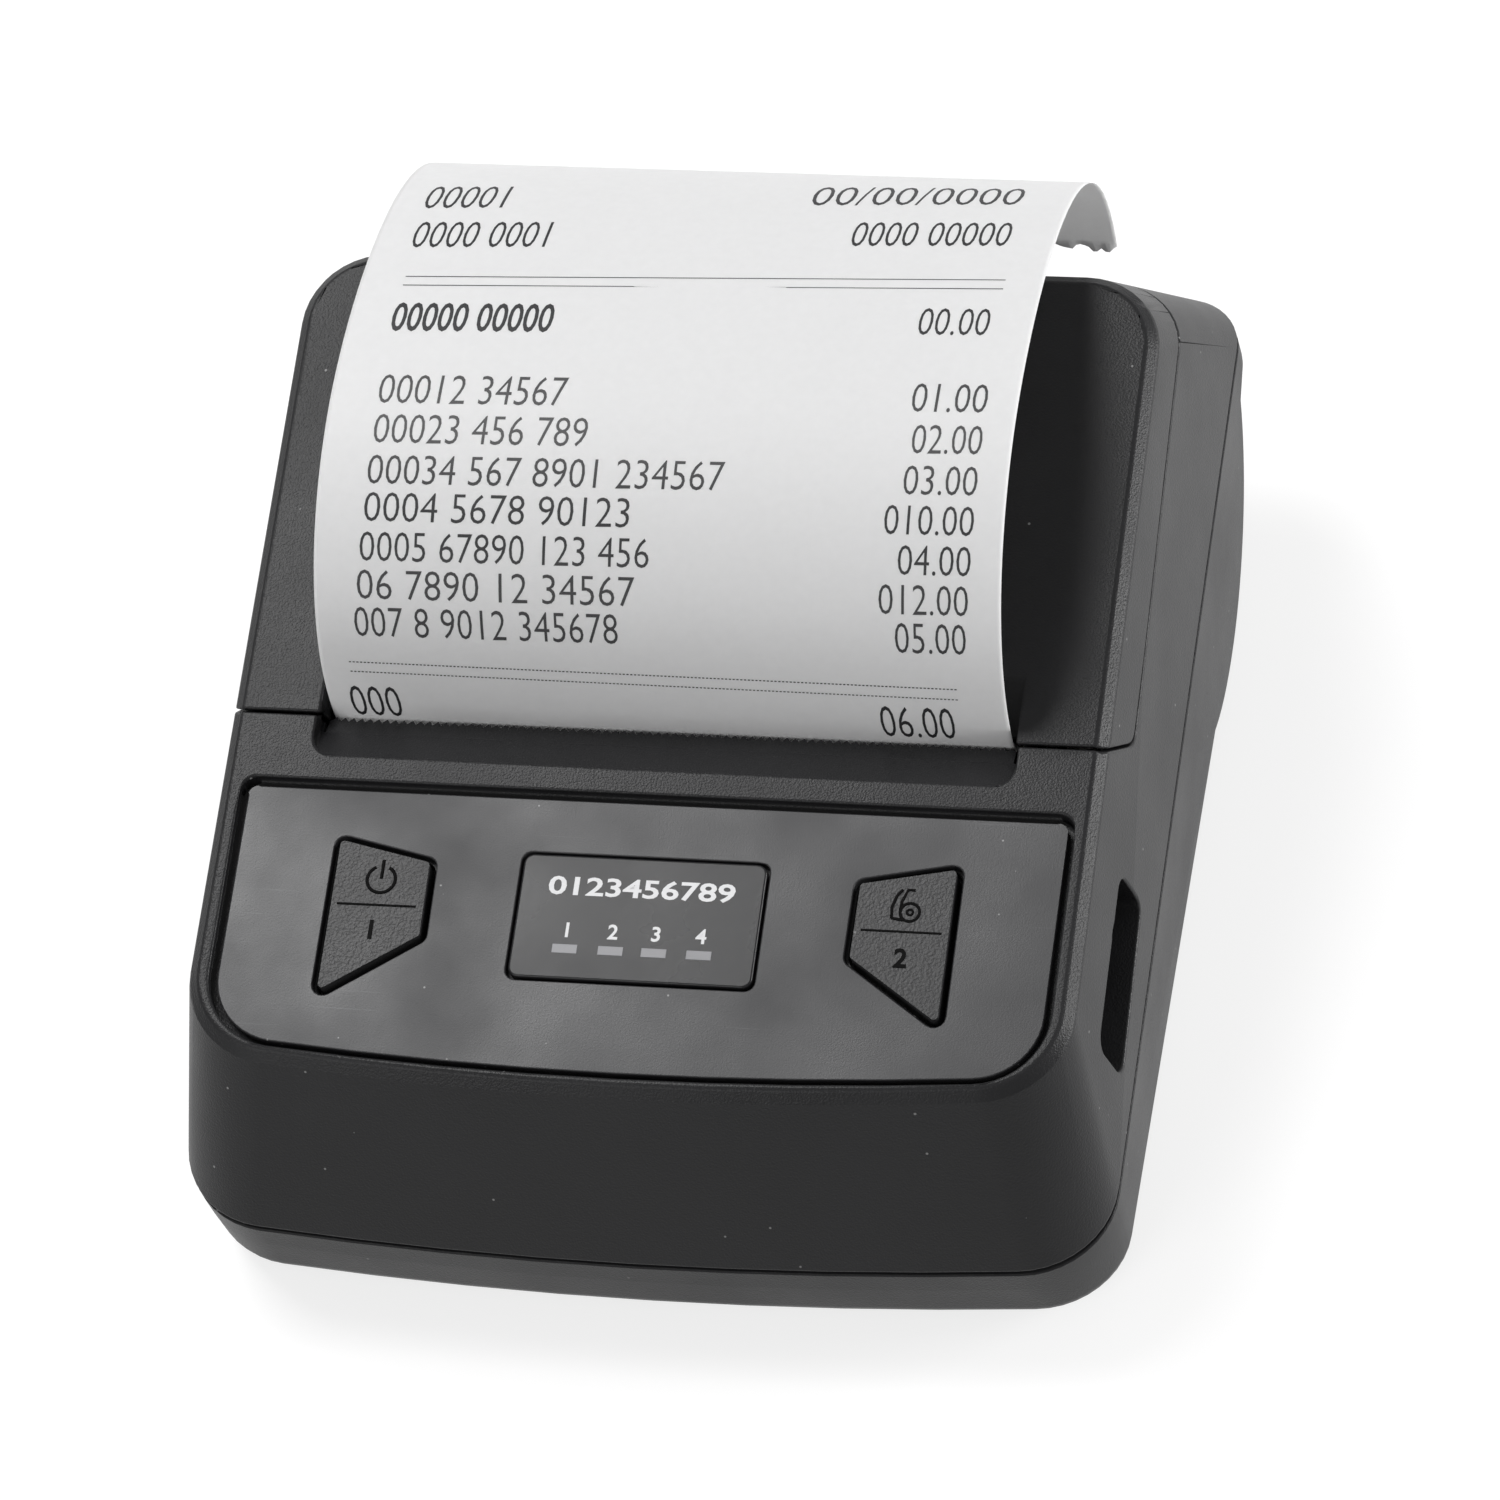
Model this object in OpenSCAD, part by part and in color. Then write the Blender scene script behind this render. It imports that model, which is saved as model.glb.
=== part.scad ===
// Portable receipt printer: a hand-sized thermal printer for an 80 mm wide roll,
// with a hinged paper lid that carries the platen and a round belly that holds the roll.
//
// Frame: the origin lies on the floor under the middle of the machine, Z up, the front at -Y.
// The top face slopes down to the front. Most pieces are drawn square to it, in the top frame:
// X right, Y to the rear along the slope, Z out of the face, from the seam in front of the lid.
// Pieces that lie level, such as the battery, are drawn in the level frame, which has the same
// origin as the top frame but stays upright.

/* [Case outline] */
// Slope of the top face, in degrees
tilt = 12; // [6:0.5:16]
// Width of the top face
top_w = 102.1; // [100:0.1:106]
// Distance from the lid seam forward to the front corners of the top face
top_front = 43.3; // [42.5:0.1:46]
// Distance from the lid seam back to the rear edge of the top face
top_rear = 59.85; // [58:0.05:64]
// Radius of the front corners of the top face
top_front_r = 11; // [8:0.5:13]
// Radius of the rear corners of the top face
top_rear_r = 9.4; // [7:0.1:12]
// How far the middle of the front bows out past its corners
front_bow = 1.85; // [0.5:0.05:3]
// Width of the bevelled band round the top face
bevel_w = 1.3; // [0.6:0.1:2]
// Drop of the bevelled band
bevel_drop = 1.2; // [0.5:0.1:2]
// Width of the case at the seam between its two halves
seam_w = 108.7; // [107.5:0.1:113]
// Distance from the lid seam forward to the front corners at the case seam
seam_front = 55.53; // [54.5:0.01:58]
// Distance from the lid seam back to the rear at the case seam
seam_rear = 74; // [72.5:0.1:78]
// Corner radius at the case seam
seam_r = 11; // [9:0.5:13]
// Radius of the rear corners at the case seam
seam_rear_r = 6.5; // [5:0.5:11]
// Depth of the case seam below the top face, at the front
seam_depth = 20.9; // [19.5:0.1:23]
// Slope of the case seam against the top face, in degrees
seam_slope = 5.4; // [4:0.1:7]
// Height of the shadow gap at the seam
seam_gap = 1; // [0.4:0.1:1.5]
// Thickness of the case walls
wall = 2; // [1.6:0.1:2.4]

/* [Base] */
// How far the base stands in from the upper housing's edge
base_step = 0.05; // [0.05:0.05:1.4]
// How far the base's walls lean in towards the bottom
base_draft = 0.25; // [0.1:0.05:0.5]
// Height of the base's upright rim at the rear
rim_h = 4.5; // [4:0.1:5]
// Radius along the bottom edge of the base
edge_r = 3; // [2.5:0.5:6]
// Radius of the belly that holds the roll
belly_r = 27; // [26.5:0.1:29]
// Distance of the belly's axis behind the lid seam
belly_y = 41; // [40:0.1:42.5]
// Depth of the belly's axis below the top face
belly_depth = 29; // [28.5:0.1:31]
// Width of the belly
belly_w = 108.4; // [107:0.1:110]
// How far the upper housing stands out past the belly's ends
belly_cover = 0.15; // [0.05:0.05:0.6]
// Radius along the belly's ends
belly_edge = 1.6; // [0.8:0.1:2]
// How far the flat bottom stands above the belly's lowest line
tray_lift = 0.4; // [0.2:0.1:0.8]
// Height of the feet below the base
foot_proud = 0.8; // [0.4:0.1:1.5]
// Radius of a foot
foot_r = 4.4; // [3:0.1:5]

/* [Lid] */
// Gap round the lid
lid_gap = 0.35; // [0.25:0.05:0.6]
// Depth of the lid's side skirt below the top face
skirt = 8.95; // [8:0.05:10]
// How far the skirt's front end leans back
skirt_lean = 4.7; // [3:0.1:6]
// Half the width of the notch where the paper comes out
notch_half = 40.6; // [40.4:0.1:41.5]
// Distance from the seam back to the top of the notch's scoop
scoop_y = 8; // [7:0.1:9]
// Distance from the seam back to the scoop's lower lip
lip_y = 2.3; // [2:0.1:2.8]
// Depth of the scoop's lower lip
lip_depth = 4.2; // [3.6:0.1:4.6]
// Radius of the hinge barrels
barrel_r = 2.3; // [2:0.1:2.6]
// Radius of the hinge pin
hinge_pin_r = 1; // [0.8:0.05:1.2]

/* [Control panel] */
// Half the width of the panel's recess
panel_half = 48.5; // [47:0.1:48.8]
// Distance from the lid seam forward to the recess's rear edge
panel_rear = 8.4; // [7.8:0.1:10]
// Distance from the lid seam forward to the recess's front corners
panel_front = 41.45; // [40:0.05:41.8]
// How far the recess's front bows out
panel_bow = 1.63; // [0.5:0.01:2]
// Radius of the recess's front corners
panel_r = 8.8; // [6:0.1:10]
// Depth of the recess
panel_depth = 2; // [1.8:0.1:2.2]
// Thickness of the panel sheet
panel_t = 1.2; // [0.8:0.1:1.4]
// Width of the groove round the panel sheet
panel_groove = 0.85; // [0.4:0.05:1.2]
// Half the width of the status window's opening
window_half = 14.4; // [12:0.1:16]
// Front and rear edges of the window's opening, forward of the lid seam
window_y = [15.8, 31.5];
// Pitch of the four lamps behind the window
lamp_pitch = 5.15; // [4.5:0.05:6]
// Distance of the lamps forward of the lid seam
lamp_y = 27.5; // [25:0.1:29]

/* [Buttons] */
// Corners of a button's opening, for the right button, across and forward
button_corners = [[36.5, 14.7], [24.2, 17.3], [24.1, 27.3], [36.5, 35.8]];
// Radius of the opening's corners
button_r = 1.3; // [0.8:0.1:2]
// Gap round a button's cap
button_gap = 0.75; // [0.4:0.05:1]
// How far a button's cap stands below the top face
button_drop = 0.4; // [0.1:0.1:0.8]
// How far a button can be pressed
button_travel = 0.5; // [0.3:0.1:0.7]

/* [Paper] */
// Width of the paper
paper_w = 79.5; // [78:0.1:80]
// Thickness of the drawn paper strip
paper_t = 0.14; // [0.08:0.02:0.2]
// Radius of the full roll
roll_r = 22.5; // [20:0.1:22.6]
// Outer radius of the roll's core
core_r = 6.5; // [5:0.1:9]
// Thickness of the core's wall
core_t = 1; // [0.6:0.1:1.5]
// Top of the printed strip's arch above the top face
arch_top = 19; // [14:0.5:24]
// Distance from the seam back to the top of the arch
arch_y = 28.6; // [24:0.1:34]
// How far the arch's rear side reaches back before it falls
arch_reach = 86.4; // [82:0.1:90]
// Torn end of the strip, behind the seam and below the top face
paper_end = [76.3, 27.5];

/* [Print mechanism] */
// Platen's place behind the seam and below the top face
platen_at = [9, 8.6];
// Radius of the platen's rubber
platen_r = 4.9; // [4.6:0.1:5]
// Radius of the platen's shaft
shaft_r = 2; // [1.5:0.1:2.5]
// Outer radius of the platen's bushes
bush_r = 3.4; // [3:0.1:3.6]
// Gap between platen and print head, where the paper runs
nip = 0.5; // [0.4:0.05:0.7]
// Thickness of the print head's board
head_t = 1; // [0.8:0.1:1.2]
// Thickness of the heat sink
sink_t = 4; // [3:0.1:4.5]
// Gear module
gear_m = 0.5; // [0.49:0.005:0.51]
// Teeth of the platen's gear
platen_teeth = 22;
// Teeth of the reduction gear's small wheel
small_teeth = 14;
// Teeth of the reduction gear's large wheel
large_teeth = 40;
// Teeth of the motor's pinion
pinion_teeth = 10;
// Radius of the motor
motor_r = 7.3; // [6:0.1:7.4]
// Pitch of the tear bar's teeth
tear_pitch = 1; // [0.8:0.1:1.5]

/* [Battery] */
// Battery pack: across, front to rear, and height
battery_size = [64.6, 31.4, 14.8];
// Distance of the battery's rear face forward of the lid seam, level
battery_y = 11.8; // [11:0.1:12.5]
// Middle of the battery, to the left of the machine's middle
battery_x = -3.9; // [-5:0.1:-3]

/* [Hidden] */
$fn = 48;

// Thickness of the thin sheets that a hull is stretched over
skin = 0.01;
// Gap between pieces that are seated on each other but not fixed
seat = 0.3;
// Radial clearance of a pin or shaft in its bore
fit = 0.05;
// Reach of cutting blocks past what they cut
past = 1;

// Lines of the case in the top frame
seam_rise = -tan(seam_slope);
front_y = -(seam_front + front_bow);
function seam_z(y) = -seam_depth + (y - front_y) * seam_rise;
function rear_y(z) = top_rear + (-z - bevel_drop) * (seam_rear - top_rear)
    / (-seam_z(seam_rear) - bevel_drop);

// Half the width of the case at its seam: the front has its own, the rear follows the belly
flare = belly_w / 2 + belly_cover - seam_w / 2;
function seam_half(y) = seam_w / 2
    + flare * (y + seam_front - seam_r) / (seam_rear + seam_front - seam_r - seam_rear_r);
function side_x(y, z) = top_w / 2 + (-z - bevel_drop) * (seam_half(y) - top_w / 2)
    / (-seam_z(y) - bevel_drop);

// Height of the base's flat bottom in the level frame, and the floor under the feet
bottom = belly_y * sin(tilt) - belly_depth * cos(tilt) - belly_r;
floor_z = bottom - foot_proud;
// The belly's lowest line in the level frame
belly_low_y = belly_y * cos(tilt) + belly_depth * sin(tilt);
// The flat bottom in front of the belly
tray_low = bottom + tray_lift;

// Hinge of the lid, on the rear wall at the skirt's lower edge
hinge_z = -skirt - lid_gap / 2;
hinge_y = rear_y(hinge_z);

// Paper roll and its bin
roll_at = [belly_y, -belly_depth];
bin_r = belly_r - wall - seat;
bin_in = roll_r + 0.5;
bin_t = 1.2;
bin_half = paper_w / 2 + 0.55;
bin_open = 216;

// Platen, print head and the route of the paper
nip_y = platen_at.x - platen_r - nip;
plate_z = -platen_at.y;
strip_r = platen_r + nip / 2;
head_front = nip_y;
head_top = plate_z + 0.4;
head_bottom = plate_z - 6.6;
head_half = paper_w / 2 + 0.25;
sink_front = head_front - head_t;
sink_back = sink_front - sink_t;
sink_top = head_top - 0.3;
sink_bottom = head_bottom - 2.8;
pivot_at = [sink_front - sink_t / 2, sink_bottom + 1.6];
pivot_r = 1;

tear_y = [-1.6, 0.95];
slot_at = [(tear_y[1] + lip_y) / 2 - 0.1, -lip_depth - 0.4];
roll_gap = 0.25;

// Side plates of the mechanism, and the layers of the gear train outside them
bracket_in = paper_w / 2 + 1.45;
bracket_t = 1.4;
frame_in = bracket_in + bracket_t + 0.4;
frame_t = 1.2;
frame_out = frame_in + frame_t;
bush_x = [bracket_in - 0.2, frame_out + 0.3];
frame_front = -11;
frame_rear = platen_at.x + 5;
frame_top = plate_z + bush_r - 0.2;
frame_floor = -36.2;
cross_y = sink_back - 6.6;

// Gear centres: each pair stands at the sum of its pitch radii
function pitch_r(teeth) = gear_m * teeth / 2;
idler_way = 225;
idler_at = [platen_at.x, plate_z]
    + (pitch_r(platen_teeth) + pitch_r(small_teeth)) * [cos(idler_way), sin(idler_way)];
pinion_way = 240;
pinion_at = idler_at
    + (pitch_r(large_teeth) + pitch_r(pinion_teeth)) * [cos(pinion_way), sin(pinion_way)];
axle_r = 1.2;
motor_x = [frame_in - 16, frame_in];

// The two layers of wheels share the room that is left inside the case's side wall, where the
// base's tongue stands out furthest
wheel_to_bush = 0.4;
wheel_gap = 0.5;
wheel_to_wall = 0.87;
inner_share = 0.47;
tongue_in = wall + 1.8;
large_tip = pitch_r(large_teeth) + gear_m;
wheels_end = min(side_x(idler_at.x, idler_at.y + large_tip) - wall,
    seam_half(pinion_at.x) - tongue_in) - wheel_to_wall;
wheel_room = wheels_end - bush_x[1] - wheel_to_bush - wheel_gap;
inner_layer = [bush_x[1] + wheel_to_bush, bush_x[1] + wheel_to_bush + inner_share * wheel_room];
outer_layer = [inner_layer[1] + wheel_gap, wheels_end];

// Heights below the control panel
deck_top = -panel_depth;
deck_t = 1.6;
deck_low = deck_top - deck_t;
panel_top = deck_top + panel_t;
button_top = -button_drop;
flange_top = deck_low - seat;
flange_t = 1.1;
stem_low = flange_top - flange_t - 0.6;
switch_top = stem_low - button_travel - 0.1;
switch_h = 1.6;
key_top = switch_top - switch_h;
key_t = 1.4;
board_top = -17;
board_t = 1.6;
board_y = [-42, -18];
key_half = 38;
key_y = [-33.8, -14.8];

// Trough in front of the paper and its tear bar
trough_y = -5.45;
trough_end = 0.7;
trough_depth = 3.3;
trough_half = notch_half + 0.3;
trough_r = 2.7;
tongue_half = notch_half - 0.3;
tear_t = 0.85;
function trough_z(y) = -trough_depth * (y - trough_y) / (trough_end - trough_y);

// Port bay in the right side wall
bay_y = [-32.2, -11];
bay_z = [-18.7, -10];
bay_depth = 2.73;
bay_back = side_x((bay_y[0] + bay_y[1]) / 2, (bay_z[0] + bay_z[1]) / 2) - bay_depth;
bay_wall = 1.6;
bay_r = 2;
socket_x = bay_back - bay_wall - seat;
usb_y = -27.6;
usb_size = [7.4, 7.6, 3.2];
usb_z = board_top + 2.4;
dc_y = -18.2;
dc_r = 3;
dc_z = board_top + 4;
dc_long = 7.8;
dc_half = 3.8;

// Battery and its compartment, level
battery_gap = 0.4;
battery_wall = 1.4;
battery_low = tray_low + wall + battery_gap;
cell_x = [battery_x - battery_size.x / 2, battery_x + battery_size.x / 2];
cell_y = [-battery_y - battery_size.y, -battery_y];
bay_x0 = cell_x[0] - battery_gap;
bay_x1 = cell_x[1] + battery_gap;
bay_y0 = cell_y[0] - battery_gap;
bay_y1 = cell_y[1] + battery_gap;
bay_roof = battery_low + battery_size.z + battery_gap;
door_pin = [bay_y1 - 1.3, tray_low + 1];
door_pin_r = 0.7;
contact_y = [-32, -25, -18];

// Fixings
boss_r = 4.3;
screw_front = [seam_w / 2 - boss_r - 4.25, -45.5];
screw_rear = [bin_half + bin_t + 1.5 + boss_r, 53];
screw_r = 1.4;
screw_head_r = 2.6;
screw_head_h = 2;
screw_sink = 4.5;
post_r = 2.2;
key_post_x = 19.5;
board_post_x = key_half + post_r + 1;
board_half = board_post_x + 4.3;
key_posts = [for (x = [-key_post_x, key_post_x], y = [key_y[1] - 2.2, key_y[0] + 2.3]) [x, y]];
board_posts = [[-board_post_x, board_y[0] + 4], [-board_post_x, board_y[1] - 3],
    [board_post_x, board_y[0] + 4]];
small_screw_r = 0.8;
foot_front_y = -26;
foot_x = max(-bay_x0, bay_x1) + battery_wall + 0.6 + foot_r;
foot_deep = 1.2;

// Moves from the top frame to the machine's own frame, which is centred over its foot print
strip_rear = max([for (p = strip_path()) p.x * cos(tilt) - p.y * sin(tilt)]) + paper_t / 2;
case_front = front_y * cos(tilt) + seam_depth * sin(tilt);
shift_y = -(strip_rear + case_front) / 2;

module level() {
    translate([0, shift_y, -floor_z]) children();
}

module sloped() {
    level() rotate([tilt, 0, 0]) children();
}

// Points along an arc
function arc(c, r, a0, a1, n = 10) =
    [for (i = [0:n]) let (a = a0 + (a1 - a0) * i / n) [c.x + r * cos(a), c.y + r * sin(a)]];

function unit(v) = v / norm(v);

function turned(v) = atan2(v.y, v.x);

function wrapped(a) = a > 180 ? a - 360 : a < -180 ? a + 360 : a;

// One corner of an outline, rounded with radius r
function corner(p, q, s, r, n) = r <= 0 ? [q] :
    let (a = unit(p - q), b = unit(s - q), half = acos(a * b) / 2)
    let (c = q + unit(a + b) * r / sin(half), reach = r / tan(half))
    let (a0 = turned(q + a * reach - c), a1 = turned(q + b * reach - c))
    arc(c, r, a0, a0 + wrapped(a1 - a0), n);

// An outline whose corners all take the same radius
function rounded(pts, r, n = 5) = [for (i = [0:len(pts) - 1])
    each corner(pts[(i + len(pts) - 1) % len(pts)], pts[i], pts[(i + 1) % len(pts)], r, n)];

// A convex outline drawn in by a distance
function drawn_in(pts, d) = [for (i = [0:len(pts) - 1])
    let (p = pts[(i + len(pts) - 1) % len(pts)], q = pts[i], s = pts[(i + 1) % len(pts)])
    let (a = unit(p - q), b = unit(s - q))
    q + unit(a + b) * d / sin(acos(a * b) / 2)];

// Plan of the case: half width, front corners, rear, corner radii, the bow of the front and how
// much wider each side is at the rear
function plan_pts(half, front, rear, r_front, r_rear, bow, flare = 0) =
    let (cx = half - r_front, big = (cx * cx + bow * bow) / (2 * bow), by = big - front - bow)
    let (cy = by - sqrt(pow(big - r_front, 2) - cx * cx), a = atan2(cy - by, cx))
    concat([for (i = [1:7]) let (w = -180 - a + i * (180 + 2 * a) / 8)
            [big * cos(w), by + big * sin(w)]],
        arc([cx, cy], r_front, a, 0),
        arc([half + flare - r_rear, rear - r_rear], r_rear, 0, 90),
        arc([r_rear - half - flare, rear - r_rear], r_rear, 90, 180),
        arc([-cx, cy], r_front, 180, 180 - a));

function top_pts(d) = plan_pts(top_w / 2 - d, top_front - d, top_rear - d,
    top_front_r - d, top_rear_r - d, front_bow);

function seam_pts(side, front, rear) = plan_pts(seam_w / 2 - side, seam_front - front,
    seam_rear - rear, seam_r - side, max(seam_rear_r - side, 0.5), front_bow, flare);

function panel_pts(d) = plan_pts(panel_half - d, panel_front - d, -panel_rear - d,
    panel_r - d, max(2 - d, 0.5), panel_bow);

// The base's outline at its rim
function rim_pts(d) = seam_pts(base_step + d, base_step + d, base_step + d);

// The base's outline, cut off in the middle of the belly
function fore_pts(d, back) = let (half = seam_half(back) - base_step - d)
    concat([for (q = seam_pts(base_step + d, base_step + d, 0)) if (q.y < 0) q],
        [[half, back], [-half, back]]);

// A thin sheet on a slope that a hull is stretched over; it tapers up, or down, so that only
// its outline counts
module sheet(pts, z0, rise = 0, up = 1) {
    multmatrix([[1, 0, 0, 0], [0, 1, 0, 0], [0, rise, up, z0], [0, 0, 0, 1]])
        linear_extrude(skin, scale = 0.8) polygon(pts);
}

// A solid whose side view is given as points across Y and Z
module side_prism(pts, x0, x1) {
    translate([x0, 0, 0]) rotate([90, 0, 90]) linear_extrude(x1 - x0) polygon(pts);
}

// A rod along X through a point across Y and Z
module x_rod(at, r, x0, x1) {
    translate([x0, at.x, at.y]) rotate([0, 90, 0]) cylinder(r = r, h = x1 - x0);
}

// A block between two corners
module block(a, b) {
    translate(a) cube(b - a);
}

// An upright rod between two heights
module post(at, r, z0, z1) {
    translate([at.x, at.y, z0]) cylinder(r = r, h = z1 - z0);
}

module both_sides() {
    children();
    mirror([1, 0, 0]) children();
}

// The upper case's form; the inner one is drawn in by the wall and runs past the seam
module case_form(d) {
    over = d > 0 ? past : 0;
    hull() {
        sheet(top_pts(bevel_w + d), -d, up = -1);
        sheet(top_pts(d), -d - bevel_drop);
        sheet(seam_pts(d, d, d), seam_z(0) - over, seam_rise);
    }
}

// The side view of the lid's share of the case, grown by a gap
module lid_region(gap) {
    lean = skirt_lean - gap / 2;
    pts = concat([[-gap, past], [-gap, -0.5]],
        corner([-gap, -0.5], [lean, -skirt - gap], [lean + 20, -skirt - gap], 2.7 + gap, 6),
        [[seam_rear + 10, -skirt - gap], [seam_rear + 10, past]]);
    side_prism(pts, -seam_w, seam_w);
}

// A height of the level frame as a line of the top frame
function level_z(h) = h / cos(tilt);

// Front part of the base: an upright rim all round, then rounded bottom edges; its rear end
// lies inside the belly. It runs past the seam, where the base is cut.
module tray_form(d) {
    low = tray_low + d;
    r = max(edge_r - d, 1);
    rear = belly_y - belly_r * sin(tilt) - 0.85 * sqrt(2 * belly_r * tray_lift) + 0.7 * d;
    hull() {
        sheet(rim_pts(d), seam_z(0) + past * (1 + d), seam_rise, -1);
        sheet(rim_pts(d + base_draft / 5), seam_z(0) - seam_gap - rim_h + 0.6 * d, seam_rise);
        for (a = [0, 22.5, 45, 67.5, 90])
            sheet(fore_pts(d + base_draft + r * (1 - cos(a)), rear),
                level_z(low + r * (1 - sin(a))), -tan(tilt));
    }
}

// The belly: a drum along X with rounded ends
module belly_form(d) {
    r = belly_r - d;
    half = belly_w / 2 - d;
    edge = max(belly_edge - d, 0.4);
    translate([0, roll_at.x, roll_at.y]) rotate([0, 90, 0]) rotate_extrude()
        polygon(concat([[0, -half]], corner([0, -half], [r, -half], [r, half], edge, 4),
            corner([r, -half], [r, half], [0, half], edge, 4), [[0, half]]));
}

module base_form(d) {
    tray_form(d);
    belly_form(d);
}

// A band between two lines that follow the seam, to cut rings from
module seam_band(low, high) {
    side_prism([[-80, seam_z(-80) + low], [90, seam_z(90) + low],
        [90, seam_z(90) + high], [-80, seam_z(-80) + high]], -seam_w, seam_w);
}

module upright(pts, z0, z1) {
    translate([0, 0, z0]) linear_extrude(z1 - z0) polygon(pts);
}

function mirrored(pts) = [for (p = pts) [-p.x, p.y]];

function forward(pts) = [for (p = pts) [p.x, -p.y]];

// Outline of a button's opening drawn in by d, for the right button
function button_pts(d) = rounded(drawn_in(forward(button_corners), d), max(button_r - d, 0.4));

function window_pts(d) = rounded([[-window_half + d, -window_y[0] - d],
    [window_half - d, -window_y[0] - d], [window_half - d, -window_y[1] + d],
    [-window_half + d, -window_y[1] + d]], 1.2);

lamp_xs = [for (i = [0:3]) (i - 1.5) * lamp_pitch - 0.1];
lamp_size = [3, 1.2];

hinge_at = [hinge_y, hinge_z];
house_knuckles = [[-24.7, -16], [16, 24.7]];
lid_knuckles = [[-33.4, -25], [25, 33.4]];
pin_half = lid_knuckles[1][1] + 0.4;
spring_half = 6;

module trough_cut() {
    intersection() {
        side_prism([[trough_y, 0], [trough_end, -trough_depth],
            [trough_end + 5, trough_z(trough_end + 5)], [trough_end + 5, past],
            [trough_y, past]], -trough_half, trough_half);
        upright(concat(corner([-trough_half, past * 5], [-trough_half, trough_y],
                [trough_half, trough_y], trough_r, 6),
            corner([-trough_half, trough_y], [trough_half, trough_y],
                [trough_half, past * 5], trough_r, 6),
            [[trough_half, past * 5], [-trough_half, past * 5]]), -8, past);
    }
}

// Side view of the tear bar, which lies in a step of the trough's floor
function tear_profile() = [[tear_y[0], trough_z(tear_y[0])], [tear_y[1], trough_z(tear_y[1])],
    [tear_y[1], trough_z(tear_y[1]) - tear_t], [tear_y[0], trough_z(tear_y[0]) - tear_t]];

module trough_floor(y0, y1, half) {
    side_prism([[y0, -past], [y1, -past], [y1, trough_z(y1) - 1.9], [trough_y + 0.5, -2.3],
        [y0, -2.3]], -half, half);
}

module upper_housing() {
    color([0.17, 0.17, 0.18]) sloped() difference() {
        union() {
            difference() {
                union() {
                    difference() {
                        case_form(0);
                        case_form(wall);
                    }
                    intersection() {
                        case_form(0.4);
                        union() {
                            upright(panel_pts(-1.5), deck_low, -0.5);
                            trough_floor(trough_y - 2, 0, trough_half + 1.5);
                            block([bay_back - bay_wall, bay_y[0] - bay_wall, bay_z[0] - bay_wall],
                                [seam_w / 2, bay_y[1] + bay_wall, bay_z[1] + bay_wall]);
                            both_sides() post(screw_front, 3, seam_z(screw_front.y), -4);
                            both_sides() post(screw_rear, 3, seam_z(screw_rear.y), -19);
                            both_sides() block([screw_rear.x, screw_rear.y - 1.5,
                                seam_z(screw_rear.y) + 1.4], [seam_w / 2, screw_rear.y + 1.5, -19]);
                            for (p = key_posts) post(p, post_r, key_top, deck_low + 0.5);
                            for (p = board_posts) post(p, post_r, board_top, deck_low + 0.5);
                        }
                    }
                }
                lid_region(lid_gap);
            }
            trough_floor(trough_y, trough_end - 0.5, tongue_half);
            for (k = house_knuckles) x_rod(hinge_at, barrel_r, k[0], k[1]);
        }
        upright(panel_pts(0), deck_top, past);
        trough_cut();
        side_prism(concat([for (i = [2, 3]) tear_profile()[i]],
            [[tear_y[0], 2 * past], [tear_y[1], 2 * past]]), -notch_half, notch_half);
        upright(button_pts(button_gap / 2), deck_low - past, past);
        upright(mirrored(button_pts(button_gap / 2)), deck_low - past, past);
        for (x = lamp_xs) block([x - lamp_size.x / 2 - 0.2, -lamp_y - lamp_size.y / 2 - 0.2, -5],
            [x + lamp_size.x / 2 + 0.2, -lamp_y + lamp_size.y / 2 + 0.2, past]);
        side_prism(rounded([[bay_y[0], bay_z[0]], [bay_y[1], bay_z[0]], [bay_y[1], bay_z[1]],
            [bay_y[0], bay_z[1]]], bay_r, 6), bay_back, seam_w);
        block([socket_x - usb_size.x, usb_y - usb_size.y / 2 - 0.2, usb_z - usb_size.z / 2 - 0.2],
            [seam_w / 2, usb_y + usb_size.y / 2 + 0.2, usb_z + usb_size.z / 2 + 0.2]);
        x_rod([dc_y, dc_z], dc_r + 0.2, socket_x - dc_long, seam_w / 2);
        both_sides() post(screw_front, screw_r + fit, -60, -10);
        both_sides() post(screw_rear, screw_r + fit, -60, -21);
        for (p = key_posts) post(p, small_screw_r + fit, key_top - past, key_top + 3.2);
        for (p = board_posts) post(p, small_screw_r + fit, board_top - past, board_top + 5.2);
        for (k = lid_knuckles) x_rod(hinge_at, barrel_r + lid_gap, k[0] - 0.3, k[1] + 0.3);
        x_rod(hinge_at, barrel_r + lid_gap, -spring_half - 0.3, spring_half + 0.3);
        x_rod(hinge_at, hinge_pin_r + fit, -pin_half - past, pin_half + past);
    }
}

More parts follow.
